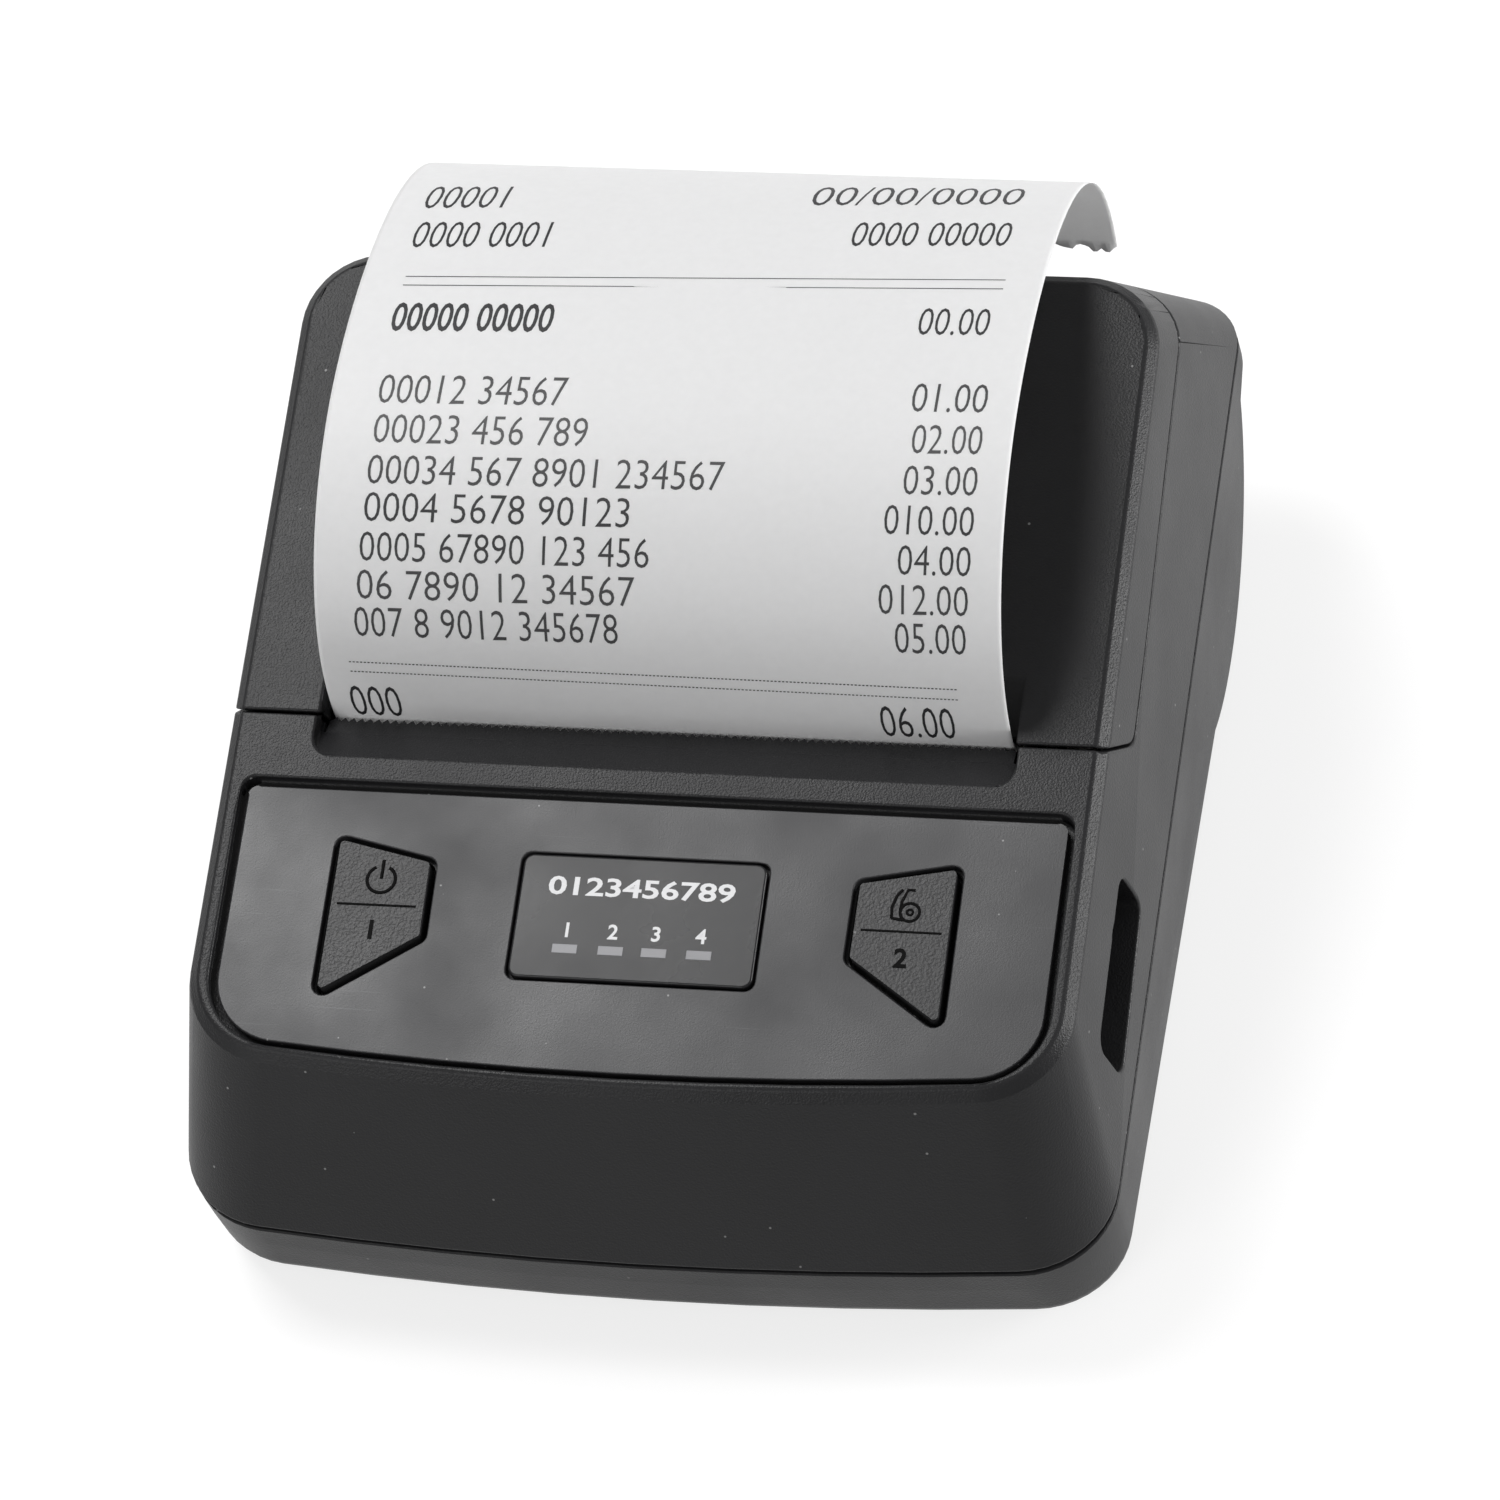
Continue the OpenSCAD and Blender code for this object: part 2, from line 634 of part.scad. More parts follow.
module base_shell() {
    color([0.22, 0.22, 0.23]) difference() {
        union() {
            sloped() difference() {
                union() {
                    difference() {
                        base_form(0);
                        base_form(wall);
                    }
                    intersection() {
                        difference() {
                            upright(seam_pts(wall, wall, wall), -60, 0);
                            upright(seam_pts(wall + 1.5, wall + 2.3, wall + 1.9), -61, past);
                        }
                        seam_band(-4, 0.5);
                    }
                }
                seam_band(-seam_gap, 40);
            }
            sloped() intersection() {
                difference() {
                    upright(seam_pts(wall + 0.6, wall + 1.4, wall + 1), -60, 0);
                    upright(seam_pts(tongue_in, wall + 2.6, wall + 2.2), -61, past);
                }
                seam_band(-3, 1);
            }
            intersection() {
                sloped() tray_form(0.5);
                level() block([bay_x0 - battery_wall, bay_y0 - battery_wall, tray_low - past],
                    [bay_x1 + battery_wall, bay_y1 + battery_wall, bay_roof + 1.2]);
            }
            intersection() {
                sloped() both_sides() {
                    post(screw_front, boss_r, -60, seam_z(screw_front.y) - seat);
                    for (y = [frame_front + 3, 5]) post([38, y], 2.5, -60, frame_floor);
                }
                level() block([-seam_w, -80, tray_low + 1.2], [seam_w, 80, 0]);
            }
            sloped() both_sides() intersection() {
                post(screw_rear, boss_r, -60, seam_z(screw_rear.y) - seat);
                x_rod(roll_at, belly_r - 0.8, 0, seam_w);
            }
        }
        level() block([bay_x0, bay_y0, tray_low - 2 * past], [bay_x1, bay_y1, bay_roof]);
        level() x_rod(door_pin, door_pin_r + fit, bay_x0 - 1.2, bay_x1 + 1.2);
        level() for (y = contact_y) block([bay_x1 - past, y - 1.3, tray_low + 4],
            [bay_x1 + battery_wall + past, y + 1.3, tray_low + 11]);
        sloped() both_sides() for (p = [screw_front, screw_rear]) {
            post(p, screw_r + 0.2, -60, 0);
            post(p, screw_head_r + 0.4, -60, screw_low(p));
        }
        level() for (x = [-foot_x, foot_x], y = [foot_front_y, belly_low_y])
            post([x, y], foot_r + 0.1, bottom - past, foot_top(y));
    }
}

// Height of the seat of a case screw's head, in the top frame
function screw_low(p) = screw_sink + (p.y > belly_y - belly_r
    ? -belly_depth - sqrt(belly_r * belly_r - pow(p.y - belly_y, 2))
    : level_z(tray_low) - p.y * tan(tilt));

module shell_screws() {
    color([0.5, 0.5, 0.52]) sloped() both_sides() for (p = [screw_front, screw_rear]) difference() {
        union() {
            post(p, screw_head_r, screw_low(p) - screw_head_h, screw_low(p));
            post(p, screw_r, screw_low(p) - 0.5, seam_z(p.y) + 8);
        }
        for (a = [0, 90]) translate([p.x, p.y, screw_low(p) - screw_head_h])
            rotate([0, 0, a]) cube([3.2, 0.6, 2], center = true);
    }
}

// Side view of the scoop that the paper leaves by
scoop_way = unit([scoop_y - lip_y, lip_depth]);
scoop_up = [-scoop_way.y, scoop_way.x];
scoop_t = 1.6;
scoop_lip = [lip_y, -lip_depth];
scoop_low = scoop_lip - scoop_t * scoop_up;

// Point at height z on a line along the scoop
function scoop_at(p, z) = p + scoop_way * (z - p.y) / scoop_way.y;

module paper_lid() {
    root = [-0.3 * wall, -0.7 * wall];
    over = scoop_lip + 0.6 * scoop_up;
    low = scoop_low.y - 0.4;
    color([0.17, 0.17, 0.18]) sloped() difference() {
        union() {
            intersection() {
                difference() {
                    case_form(0);
                    case_form(wall);
                }
                lid_region(0);
            }
            side_prism([over, scoop_at(over, root[0]), [scoop_y + 3, root[0]],
                [scoop_y + 3, root[1]], scoop_at(scoop_low, root[1]), scoop_low],
                -notch_half - 0.6, notch_half + 0.6);
            both_sides() side_prism([[0.7, -past], [scoop_y + 1, -past],
                [scoop_y + 1, -wall - 0.4], [lip_y + scoop_t, low], [1.4, low]],
                notch_half + 0.2, notch_half + 1.4);
            for (k = lid_knuckles) x_rod(hinge_at, barrel_r, k[0], k[1]);
        }
        side_prism([[-past, past], scoop_at(scoop_lip, past), scoop_at(scoop_lip, low),
            [-past, low]], -notch_half, notch_half);
        for (k = house_knuckles) x_rod(hinge_at, barrel_r + lid_gap, k[0] - 0.3, k[1] + 0.3);
        x_rod(hinge_at, barrel_r + lid_gap, -spring_half - 0.3, spring_half + 0.3);
        x_rod(hinge_at, hinge_pin_r + fit, -pin_half - past, pin_half + past);
    }
}

module panel_sheet() {
    color([0.36, 0.36, 0.37]) sloped() difference() {
        upright(panel_pts(panel_groove), deck_top, panel_top);
        upright(button_pts(0), deck_top - past, past);
        upright(mirrored(button_pts(0)), deck_top - past, past);
        upright(window_pts(0), deck_top - past, past);
    }
}

module status_window() {
    color([0.2, 0.2, 0.22]) sloped() upright(window_pts(0.3), deck_top, panel_top + 0.2);
}

// A button: cap, flange under the deck and a stem over its switch
module button() {
    middle = [for (i = [0:1]) (button_corners[0][i] + button_corners[1][i]
        + button_corners[2][i] + button_corners[3][i]) / 4];
    upright(button_pts(button_gap), flange_top - 0.2, button_top);
    upright(button_pts(-0.8), flange_top - flange_t, flange_top);
    post([middle.x, -middle.y], 1.5, stem_low, flange_top - 0.2);
}

module power_button() {
    color([0.2, 0.2, 0.21]) sloped() mirror([1, 0, 0]) button();
}

module feed_button() {
    color([0.2, 0.2, 0.21]) sloped() button();
}

// One lamp: a light pipe that stands on the key board and ends under the window
module lamp(x) {
    color([0.75, 0.78, 0.78]) sloped() union() {
        block([x - lamp_size.x / 2, -lamp_y - lamp_size.y / 2, key_top + 1],
            [x + lamp_size.x / 2, -lamp_y + lamp_size.y / 2, deck_top - seat]);
        block([x - lamp_size.x / 2, -lamp_y - 1.4, key_top],
            [x + lamp_size.x / 2, -lamp_y + 1.4, key_top + 1.2]);
    }
}

// Teeth of the tear bar, cut along its rear edge
module tear_bar() {
    half = notch_half - 0.4;
    count = floor(2 * half / tear_pitch);
    start = -count * tear_pitch / 2;
    color([0.2, 0.2, 0.21]) sloped() intersection() {
        side_prism(tear_profile(), -half, half);
        upright(concat([[half, -5], [-half, -5], [-half, tear_y[1] - 0.6]],
            [for (i = [0:count - 1]) each [[start + i * tear_pitch, tear_y[1] - 0.6],
                [start + (i + 0.5) * tear_pitch, tear_y[1]]]],
            [[-start, tear_y[1] - 0.6], [half, tear_y[1] - 0.6]]), -8, past);
    }
}

// The paper's route from the roll past the head, through the slot and over the lid
function bezier(p, t) = pow(1 - t, 3) * p[0] + 3 * pow(1 - t, 2) * t * p[1]
    + 3 * (1 - t) * t * t * p[2] + t * t * t * p[3];

function curve(p, n) = [for (i = [1:n]) bezier(p, i / n)];

function strip_path() =
    let (top = [platen_at.x, plate_z], far = norm(roll_at - top))
    let (between = turned(roll_at - top), lean = asin((roll_r + roll_gap - strip_r) / far))
    let (off = between - lean - 90)
    concat(
        [roll_at + (roll_r + roll_gap) * [cos(off), sin(off)]],
        arc(top, strip_r, off, -180, 5),
        curve([[top.x - strip_r, top.y], [top.x - strip_r, top.y + 1.6],
            slot_at - [0.3, 1.6], slot_at], 6),
        curve([slot_at, [arch_y * 0.15, arch_top * 0.53], [arch_y * 0.44, arch_top],
            [arch_y, arch_top]], 12),
        curve([[arch_y, arch_top], [arch_y + 18.1, arch_top], [arch_reach, 2.3],
            [paper_end.x, -paper_end.y]], 16));

// A band of even thickness along a path
function band(path, t) =
    let (n = len(path) - 1)
    let (ways = [for (i = [0:n]) unit(path[min(i + 1, n)] - path[max(i - 1, 0)])])
    concat([for (i = [0:n]) path[i] + t / 2 * [-ways[i].y, ways[i].x]],
        [for (i = [n:-1:0]) path[i] - t / 2 * [-ways[i].y, ways[i].x]]);

module receipt_strip() {
    color([0.95, 0.95, 0.95]) sloped()
        side_prism(band(strip_path(), paper_t), -paper_w / 2, paper_w / 2);
}

// USB socket: a sheet metal shell on the board whose mouth shows in the bay
module usb_socket() {
    color([0.6, 0.6, 0.62]) sloped() difference() {
        union() {
            block([socket_x - usb_size.x, usb_y - usb_size.y / 2 - 0.6, board_top],
                [socket_x, usb_y + usb_size.y / 2 + 0.6, usb_z + usb_size.z / 2 + 0.6]);
            block([socket_x - 1, usb_y - usb_size.y / 2, usb_z - usb_size.z / 2],
                [bay_back - 0.2, usb_y + usb_size.y / 2, usb_z + usb_size.z / 2]);
        }
        difference() {
            block([socket_x - usb_size.x + 1, usb_y - usb_size.y / 2 + 0.4,
                    usb_z - usb_size.z / 2 + 0.4],
                [bay_back + past, usb_y + usb_size.y / 2 - 0.4, usb_z + usb_size.z / 2 - 0.4]);
            block([socket_x - usb_size.x, usb_y - usb_size.y / 2 + 1.2, usb_z - 0.4],
                [bay_back - 0.8, usb_y + usb_size.y / 2 - 1.2, usb_z + 0.4]);
        }
    }
}

// DC socket: a moulded block with a round mouth and a centre pin
module dc_socket() {
    color([0.1, 0.1, 0.1]) sloped() {
        difference() {
            union() {
                block([socket_x - dc_long, dc_y - dc_half, board_top],
                    [socket_x, dc_y + dc_half, dc_z + dc_half]);
                x_rod([dc_y, dc_z], dc_r, socket_x - 1, bay_back - 0.2);
            }
            x_rod([dc_y, dc_z], dc_r - 0.6, socket_x - dc_long + 1.8, bay_back + past);
        }
        x_rod([dc_y, dc_z], 0.7, socket_x - dc_long + 0.8, bay_back - 0.9);
    }
}

// A spur gear with involute flanks, its axis along Z
gear_angle = 25;
backlash = 0.09;

function involute(base, r) = let (t = sqrt(max(pow(r / base, 2) - 1, 0))) t * 180 / PI - atan(t);

function tooth(teeth, i) =
    let (pitch = pitch_r(teeth), base = pitch * cos(gear_angle))
    let (tip = pitch + 0.85 * gear_m, root = pitch - 1.1 * gear_m)
    let (half = 90 / teeth - backlash / 4 / pitch * 180 / PI + involute(base, pitch))
    let (rs = [root, max(base, root) + 0.02, pitch, tip], mid = 360 * i / teeth)
    let (offs = [for (r = rs) half - involute(base, max(r, base))])
    concat([for (j = [0:3]) rs[j] * [cos(mid - offs[j]), sin(mid - offs[j])]],
        [for (j = [3:-1:0]) rs[j] * [cos(mid + offs[j]), sin(mid + offs[j])]]);

module x_gear(teeth, at, layer, turn) {
    translate([layer[0], at.x, at.y]) rotate([90, 0, 90]) rotate([0, 0, turn])
        linear_extrude(layer[1] - layer[0])
            polygon([for (i = [0:teeth - 1]) each tooth(teeth, i)]);
}

// Turns that bring a tooth of one wheel into a gap of the next
platen_turn = idler_way;
small_turn = idler_way + 180 + 180 / small_teeth;
large_turn = pinion_way;
pinion_turn = pinion_way + 180 + 180 / pinion_teeth;

module platen_roller() {
    color([0.12, 0.12, 0.12]) sloped() difference() {
        x_rod([platen_at.x, plate_z], platen_r, -paper_w / 2 - 0.3, paper_w / 2 + 0.3);
        x_rod([platen_at.x, plate_z], shaft_r + 0.03, -frame_out, frame_out);
    }
}

module platen_shaft() {
    color([0.7, 0.7, 0.72]) sloped()
        x_rod([platen_at.x, plate_z], shaft_r, -bush_x[1] - 1.2, inner_layer[1] + 0.1);
}

module platen_gear() {
    color([0.9, 0.9, 0.85]) sloped() difference() {
        x_gear(platen_teeth, [platen_at.x, plate_z], inner_layer, platen_turn);
        x_rod([platen_at.x, plate_z], shaft_r + 0.03, frame_out, outer_layer[1]);
    }
}

module platen_bushes() {
    color([0.85, 0.85, 0.8]) sloped() both_sides() difference() {
        x_rod([platen_at.x, plate_z], bush_r, bush_x[0], bush_x[1]);
        x_rod([platen_at.x, plate_z], shaft_r + fit, bush_x[0] - past, bush_x[1] + past);
    }
}

// Plate under the lid with the two brackets that hold the platen's bushes
module lid_liner() {
    centre = [platen_at.x, plate_z];
    ring = bush_r + 1.5;
    color([0.25, 0.25, 0.26]) sloped() {
        block([-bracket_in - bracket_t, centre.x + 7, -wall - 1.5],
            [bracket_in + bracket_t, hinge_y - 9, -wall]);
        both_sides() difference() {
            union() {
                x_rod(centre, ring, bracket_in, bracket_in + bracket_t);
                side_prism([[centre.x, centre.y + ring - 0.3], [centre.x + 3, -wall],
                    [centre.x + 12, -wall], [centre.x + 12, -wall - 1.5],
                    [centre.x + ring - 0.1, centre.y]], bracket_in, bracket_in + bracket_t);
            }
            x_rod(centre, bush_r + fit, bracket_in - past, bracket_in + bracket_t + past);
        }
    }
}

module hinge_pin() {
    color([0.7, 0.7, 0.72]) sloped() x_rod(hinge_at, hinge_pin_r, -pin_half, pin_half);
}

// Torsion spring on the hinge pin, drawn as a sleeve with its two legs
module hinge_spring() {
    color([0.6, 0.6, 0.62]) sloped() difference() {
        union() {
            x_rod(hinge_at, hinge_pin_r + 0.8, -spring_half, spring_half);
            translate([spring_half - 0.5, hinge_at.x - 6, hinge_at.y - 1.4])
                rotate([-90, 0, 0]) cylinder(r = 0.3, h = 6);
        }
        x_rod(hinge_at, hinge_pin_r + 0.1, -pin_half, pin_half);
    }
}

module print_head() {
    color([0.85, 0.82, 0.75]) sloped() difference() {
        block([-head_half, sink_front, head_bottom], [head_half, head_front, head_top]);
        block([-head_half - past, head_front - 0.4, head_bottom - past],
            [head_half + past, head_front + past, head_bottom + 3]);
    }
}

module heat_sink() {
    color([0.75, 0.75, 0.77]) sloped() difference() {
        block([-head_half, sink_back, sink_bottom], [head_half, sink_front, sink_top]);
        for (i = [0:2]) block([-head_half - past, sink_back - past, sink_top - 3.2 - 2 * i],
            [head_half + past, sink_back + 1, sink_top - 2.2 - 2 * i]);
        x_rod(pivot_at, pivot_r + fit, -head_half - past, head_half + past);
    }
}

module head_pivot() {
    color([0.7, 0.7, 0.72]) sloped() x_rod(pivot_at, pivot_r, -frame_out - 0.2, frame_out + 0.2);
}

// Three springs between the frame's cross wall and the heat sink, drawn as sleeves
head_spring_x = 26;
head_spring_r = 2.4;
head_spring_in = 1.7;

module head_springs() {
    long = sink_back - seat - cross_y;
    color([0.6, 0.6, 0.62]) sloped() for (x = [-head_spring_x, 0, head_spring_x])
        translate([x, cross_y, head_bottom + 4]) rotate([-90, 0, 0]) difference() {
            cylinder(r = head_spring_r, h = long);
            translate([0, 0, -past]) cylinder(r = head_spring_in, h = long + 2 * past);
        }
}

module mechanism_frame() {
    centre = [platen_at.x, plate_z];
    color([0.6, 0.6, 0.6]) sloped() difference() {
        union() {
            both_sides() side_prism([[frame_front, frame_floor], [frame_rear, frame_floor],
                [frame_rear, frame_top], [sink_back, frame_top], [frame_front, -9]],
                frame_in, frame_out);
            block([-frame_out, frame_front, frame_floor], [frame_out, 8, frame_floor + 1.2]);
            block([-frame_in - 0.1, cross_y - 1.2, -19], [frame_in + 0.1, cross_y, -8]);
            block([-4, head_front - 0.3, frame_floor + 1], [4, head_front + 0.6, -16.6]);
        }
        both_sides() {
            x_rod(centre, bush_r + seat, frame_in - past, frame_out + past);
            block([frame_in - past, centre.x - bush_r - seat, centre.y],
                [frame_out + past, centre.x + bush_r + seat, 0]);
        }
        x_rod(pivot_at, pivot_r + 0.03, -frame_out - past, frame_out + past);
        x_rod(idler_at, axle_r + 0.03, frame_in - past, frame_out + past);
        x_rod(pinion_at, 1.6, frame_in - past, frame_out + past);
    }
}

module stepper_motor() {
    color([0.65, 0.65, 0.67]) sloped() difference() {
        x_rod(pinion_at, motor_r, motor_x[0], motor_x[1]);
        x_rod(pinion_at, 1.06, motor_x[1] - 2, motor_x[1] + past);
    }
}

module motor_pinion() {
    color([0.85, 0.75, 0.45]) sloped() {
        x_gear(pinion_teeth, pinion_at, outer_layer, pinion_turn);
        x_rod(pinion_at, 1, motor_x[1] - 1.9, outer_layer[0] + 0.5);
    }
}

module reduction_gear() {
    color([0.9, 0.9, 0.85]) sloped() difference() {
        union() {
            x_gear(small_teeth, idler_at, [inner_layer[0] - 0.1, outer_layer[0] + 0.2], small_turn);
            x_gear(large_teeth, idler_at, outer_layer, large_turn);
        }
        x_rod(idler_at, axle_r + fit, frame_out, outer_layer[1] + past);
    }
}

module gear_axle() {
    color([0.7, 0.7, 0.72]) sloped() x_rod(idler_at, axle_r, frame_in - 0.2, outer_layer[1] + 0.4);
}

module paper_roll() {
    color([0.94, 0.94, 0.92]) sloped() difference() {
        x_rod(roll_at, roll_r, -paper_w / 2, paper_w / 2, $fn = 96);
        x_rod(roll_at, core_r + fit, -bin_half, bin_half);
    }
}

module roll_core() {
    color([0.6, 0.45, 0.3]) sloped() difference() {
        x_rod(roll_at, core_r, -paper_w / 2 - 0.2, paper_w / 2 + 0.2);
        x_rod(roll_at, core_r - core_t, -bin_half, bin_half);
    }
}

// Bin under the roll, with a cheek at each end
module roll_bin() {
    reach = 60;
    color([0.2, 0.2, 0.21]) sloped() intersection() {
        difference() {
            x_rod(roll_at, bin_r, -bin_half - bin_t, bin_half + bin_t, $fn = 96);
            x_rod(roll_at, bin_in, -bin_half, bin_half, $fn = 96);
            x_rod(roll_at, core_r + 5, -bin_half - 2 * bin_t, bin_half + 2 * bin_t);
        }
        side_prism([roll_at, roll_at + reach * [cos(bin_open), sin(bin_open)],
            roll_at + reach * [-1, -1], roll_at + reach * [1, -1],
            roll_at + reach * [1, 0.1]], -bin_half - 2 * bin_t, bin_half + 2 * bin_t);
    }
}

module paper_sensor() {
    color([0.1, 0.1, 0.1]) sloped()
        block([-3, head_front + 0.6, -20.4], [3, head_front + 2.8, -16.8]);
}

module main_board() {
    color([0.08, 0.3, 0.16]) sloped() difference() {
        union() {
            block([-board_half, board_y[0], board_top - board_t],
                [board_half, board_y[1], board_top]);
            block([board_half - 9.5, board_y[0] + 6, board_top - board_t],
                [socket_x, board_y[1], board_top]);
            block([socket_x - dc_long, board_y[1] - past, board_top - board_t],
                [socket_x, dc_y + dc_half, board_top]);
        }
        for (p = board_posts) post(p, small_screw_r + 0.1, -30, -10);
    }
}

// Chips, coil and plugs on the main board, each with its left front corner and its size
processor = [[-15, -35], [10, 10, 1.4]];
radio_chip = [[2, -34], [6, 6, 1.2]];
driver_chip = [[-30, -36], [8, 5, 1.2]];
coil = [[14, -33], [6, 6, 3]];
motor_plug = [[-34, -24], [10, 4.5, 4]];
head_plug = [[4, -24], [12, 4.5, 4]];
capacitor_at = [[30, -38], [30, -31]];
capacitor_r = 2.5;
capacitor_h = 5.2;

module board_chips() {
    color([0.1, 0.1, 0.11]) sloped() {
        for (c = [processor, radio_chip, driver_chip, coil, motor_plug, head_plug])
            translate([c[0].x, c[0].y, board_top]) cube(c[1]);
        for (p = capacitor_at) post(p, capacitor_r, board_top, board_top + capacitor_h);
    }
}

module key_board() {
    color([0.08, 0.3, 0.16]) sloped() difference() {
        block([-key_half, key_y[0], key_top - key_t], [key_half, key_y[1], key_top]);
        for (p = key_posts) post(p, small_screw_r + 0.1, -30, 0);
    }
}

module key_switches() {
    middle = [for (i = [0:1]) (button_corners[0][i] + button_corners[1][i]
        + button_corners[2][i] + button_corners[3][i]) / 4];
    color([0.3, 0.3, 0.32]) sloped() both_sides() {
        block([middle.x - 3, -middle.y - 3, key_top], [middle.x + 3, -middle.y + 3, key_top + 1]);
        post([middle.x, -middle.y], 1.6, key_top + 0.9, switch_top);
    }
}

// Flat cable from the print head, under the frame's cross wall, to the main board
module ribbon_cable() {
    path = [[sink_front + 0.4, head_bottom - 0.1], [sink_front + 0.4, -20.5], [-1, -23],
        [-8, -24], [-13, -22.4], [-16, -20], [board_y[1] - 0.6, board_top - board_t - 0.3],
        [board_y[1] - 3, board_top - board_t - 0.3]];
    color([0.85, 0.6, 0.25]) sloped() side_prism(band(path, 0.3), -24, -8);
}

module battery_pack() {
    color([0.15, 0.25, 0.45]) level() translate([cell_x[0], cell_y[0], battery_low])
        cube(battery_size);
}

// Contact block beside the battery, with one spring leaf for each pole
module battery_contacts() {
    color([0.8, 0.65, 0.3]) level() {
        block([bay_x1 + battery_wall + seat, contact_y[0] - 3, tray_low + wall],
            [bay_x1 + battery_wall + 5, contact_y[2] + 3, tray_low + 13]);
        for (y = contact_y) block([cell_x[1] + 0.1, y - 1, tray_low + 4.5],
            [bay_x1 + battery_wall + 1, y + 1, tray_low + 10.5]);
    }
}

// Door under the battery, which turns on two pins at its rear edge
module battery_door() {
    gap = 0.3;
    color([0.22, 0.22, 0.23]) level() difference() {
        union() {
            block([bay_x0 + gap, bay_y0 + gap, tray_low],
                [bay_x1 - gap, door_pin.x, tray_low + wall]);
            x_rod(door_pin, 1, bay_x0 + gap, bay_x1 - gap);
            x_rod(door_pin, door_pin_r, bay_x0 - 1, bay_x1 + 1);
        }
        block([battery_x - 9, bay_y0 - past, tray_low - past],
            [battery_x + 9, bay_y0 + 2.2, tray_low + 1]);
    }
}

// Screws that hold the key board and the main board to posts of the housing
module board_screws() {
    color([0.6, 0.6, 0.62]) sloped() {
        for (p = key_posts) {
            post(p, 1.5, key_top - key_t - 1, key_top - key_t);
            post(p, small_screw_r, key_top - key_t - 0.5, key_top + 3);
        }
        for (p = board_posts) {
            post(p, 1.5, board_top - board_t - 1, board_top - board_t);
            post(p, small_screw_r, board_top - board_t - 0.5, board_top + 5);
        }
    }
}

// Top of a foot's pocket
function foot_top(y) = (y > 0 ? bottom : tray_low) + foot_deep;

module rubber_feet() {
    color([0.1, 0.1, 0.1]) level() for (x = [-foot_x, foot_x], y = [foot_front_y, belly_low_y])
        post([x, y], foot_r, floor_z, foot_top(y));
}

upper_housing();
base_shell();
paper_lid();
panel_sheet();
status_window();
power_button();
feed_button();
lamp(lamp_xs[0]);  // lamp_1
lamp(lamp_xs[1]);  // lamp_2
lamp(lamp_xs[2]);  // lamp_3
lamp(lamp_xs[3]);  // lamp_4
tear_bar();
receipt_strip();
usb_socket();
dc_socket();
platen_roller();
platen_shaft();
platen_gear();
platen_bushes();
lid_liner();
hinge_pin();
hinge_spring();
print_head();
heat_sink();
head_pivot();
head_springs();
mechanism_frame();
stepper_motor();
motor_pinion();
reduction_gear();
gear_axle();
paper_roll();
roll_core();
roll_bin();
paper_sensor();
main_board();
board_chips();
key_board();
key_switches();
ribbon_cable();
battery_pack();
battery_contacts();
battery_door();
shell_screws();
board_screws();
rubber_feet();
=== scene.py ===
# A portable receipt printer with its printed strip coming out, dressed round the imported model.
# It stands on a white table under soft studio lights.
import math
import random

import bmesh
import bpy
from mathutils import Matrix, Vector
from mathutils.bvhtree import BVHTree


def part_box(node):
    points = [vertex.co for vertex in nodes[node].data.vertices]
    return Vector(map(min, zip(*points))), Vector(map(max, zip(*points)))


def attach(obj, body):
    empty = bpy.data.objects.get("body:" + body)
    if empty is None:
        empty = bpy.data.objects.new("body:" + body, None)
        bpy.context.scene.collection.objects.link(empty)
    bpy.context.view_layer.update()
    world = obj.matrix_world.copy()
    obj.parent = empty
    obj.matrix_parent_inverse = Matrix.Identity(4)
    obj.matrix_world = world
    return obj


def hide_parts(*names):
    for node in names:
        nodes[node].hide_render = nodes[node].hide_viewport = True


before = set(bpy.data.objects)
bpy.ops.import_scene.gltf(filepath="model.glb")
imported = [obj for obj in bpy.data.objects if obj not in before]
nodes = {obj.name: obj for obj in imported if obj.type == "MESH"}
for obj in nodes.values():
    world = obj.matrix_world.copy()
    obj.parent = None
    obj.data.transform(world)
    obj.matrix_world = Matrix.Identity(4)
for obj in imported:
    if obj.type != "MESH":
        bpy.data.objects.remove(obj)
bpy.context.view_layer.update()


# The camera and the printer's own slope. Most pieces are drawn square to the sloping top face,
# in millimetres from the middle of the seam in front of the lid, and SLOPE takes them to the
# printer's frame. The camera looks down on it from the front right and is turned a little.
TILT = math.radians(12)
LEAN = Matrix.Rotation(TILT, 4, "X")
SEAM_MIDDLE = (0, -0.0144054, 0.0476419)
SLOPE = Matrix.Translation(SEAM_MIDDLE) @ LEAN @ Matrix.Scale(0.001, 4)
# The lens and half the frame's width, in pixels of a frame 1500 pixels wide
FOCAL_PX, HALF_PX = 8182, 750
# The camera's right, down and inward directions on the slope
right_down_in = Matrix(((0.97502, 0.13055, -0.17969), (0.04484, -0.90806, -0.41642),
                        (-0.21754, 0.39796, -0.89124)))
# Where the middle of the seam shows in the frame, and how far away it is in millimetres
seam_px, seam_away = (664.69, 727.27), 928.8
seam_seen = Vector([(p - HALF_PX) / FOCAL_PX for p in seam_px] + [1]) * seam_away
lens = bpy.data.cameras.new("camera")
lens.sensor_width = 36
lens.lens = FOCAL_PX / (2 * HALF_PX) * 36
lens.clip_start, lens.clip_end = 0.05, 20
camera = bpy.data.objects.new("camera", lens)
bpy.context.scene.collection.objects.link(camera)
turn = Matrix((right_down_in[0], -right_down_in[1], -right_down_in[2])).transposed()
camera.matrix_world = (Matrix.Translation(SLOPE @ -(right_down_in.transposed() @ seam_seen))
                       @ LEAN @ turn.to_4x4())
bpy.context.scene.camera = camera


# The table and the studio: a white top that takes the printer's shadow, a white surround, a
# soft light over the left rear, a low one on the right and a weak one at the front left.
def link(tree, source, target):
    tree.links.new(source, target)


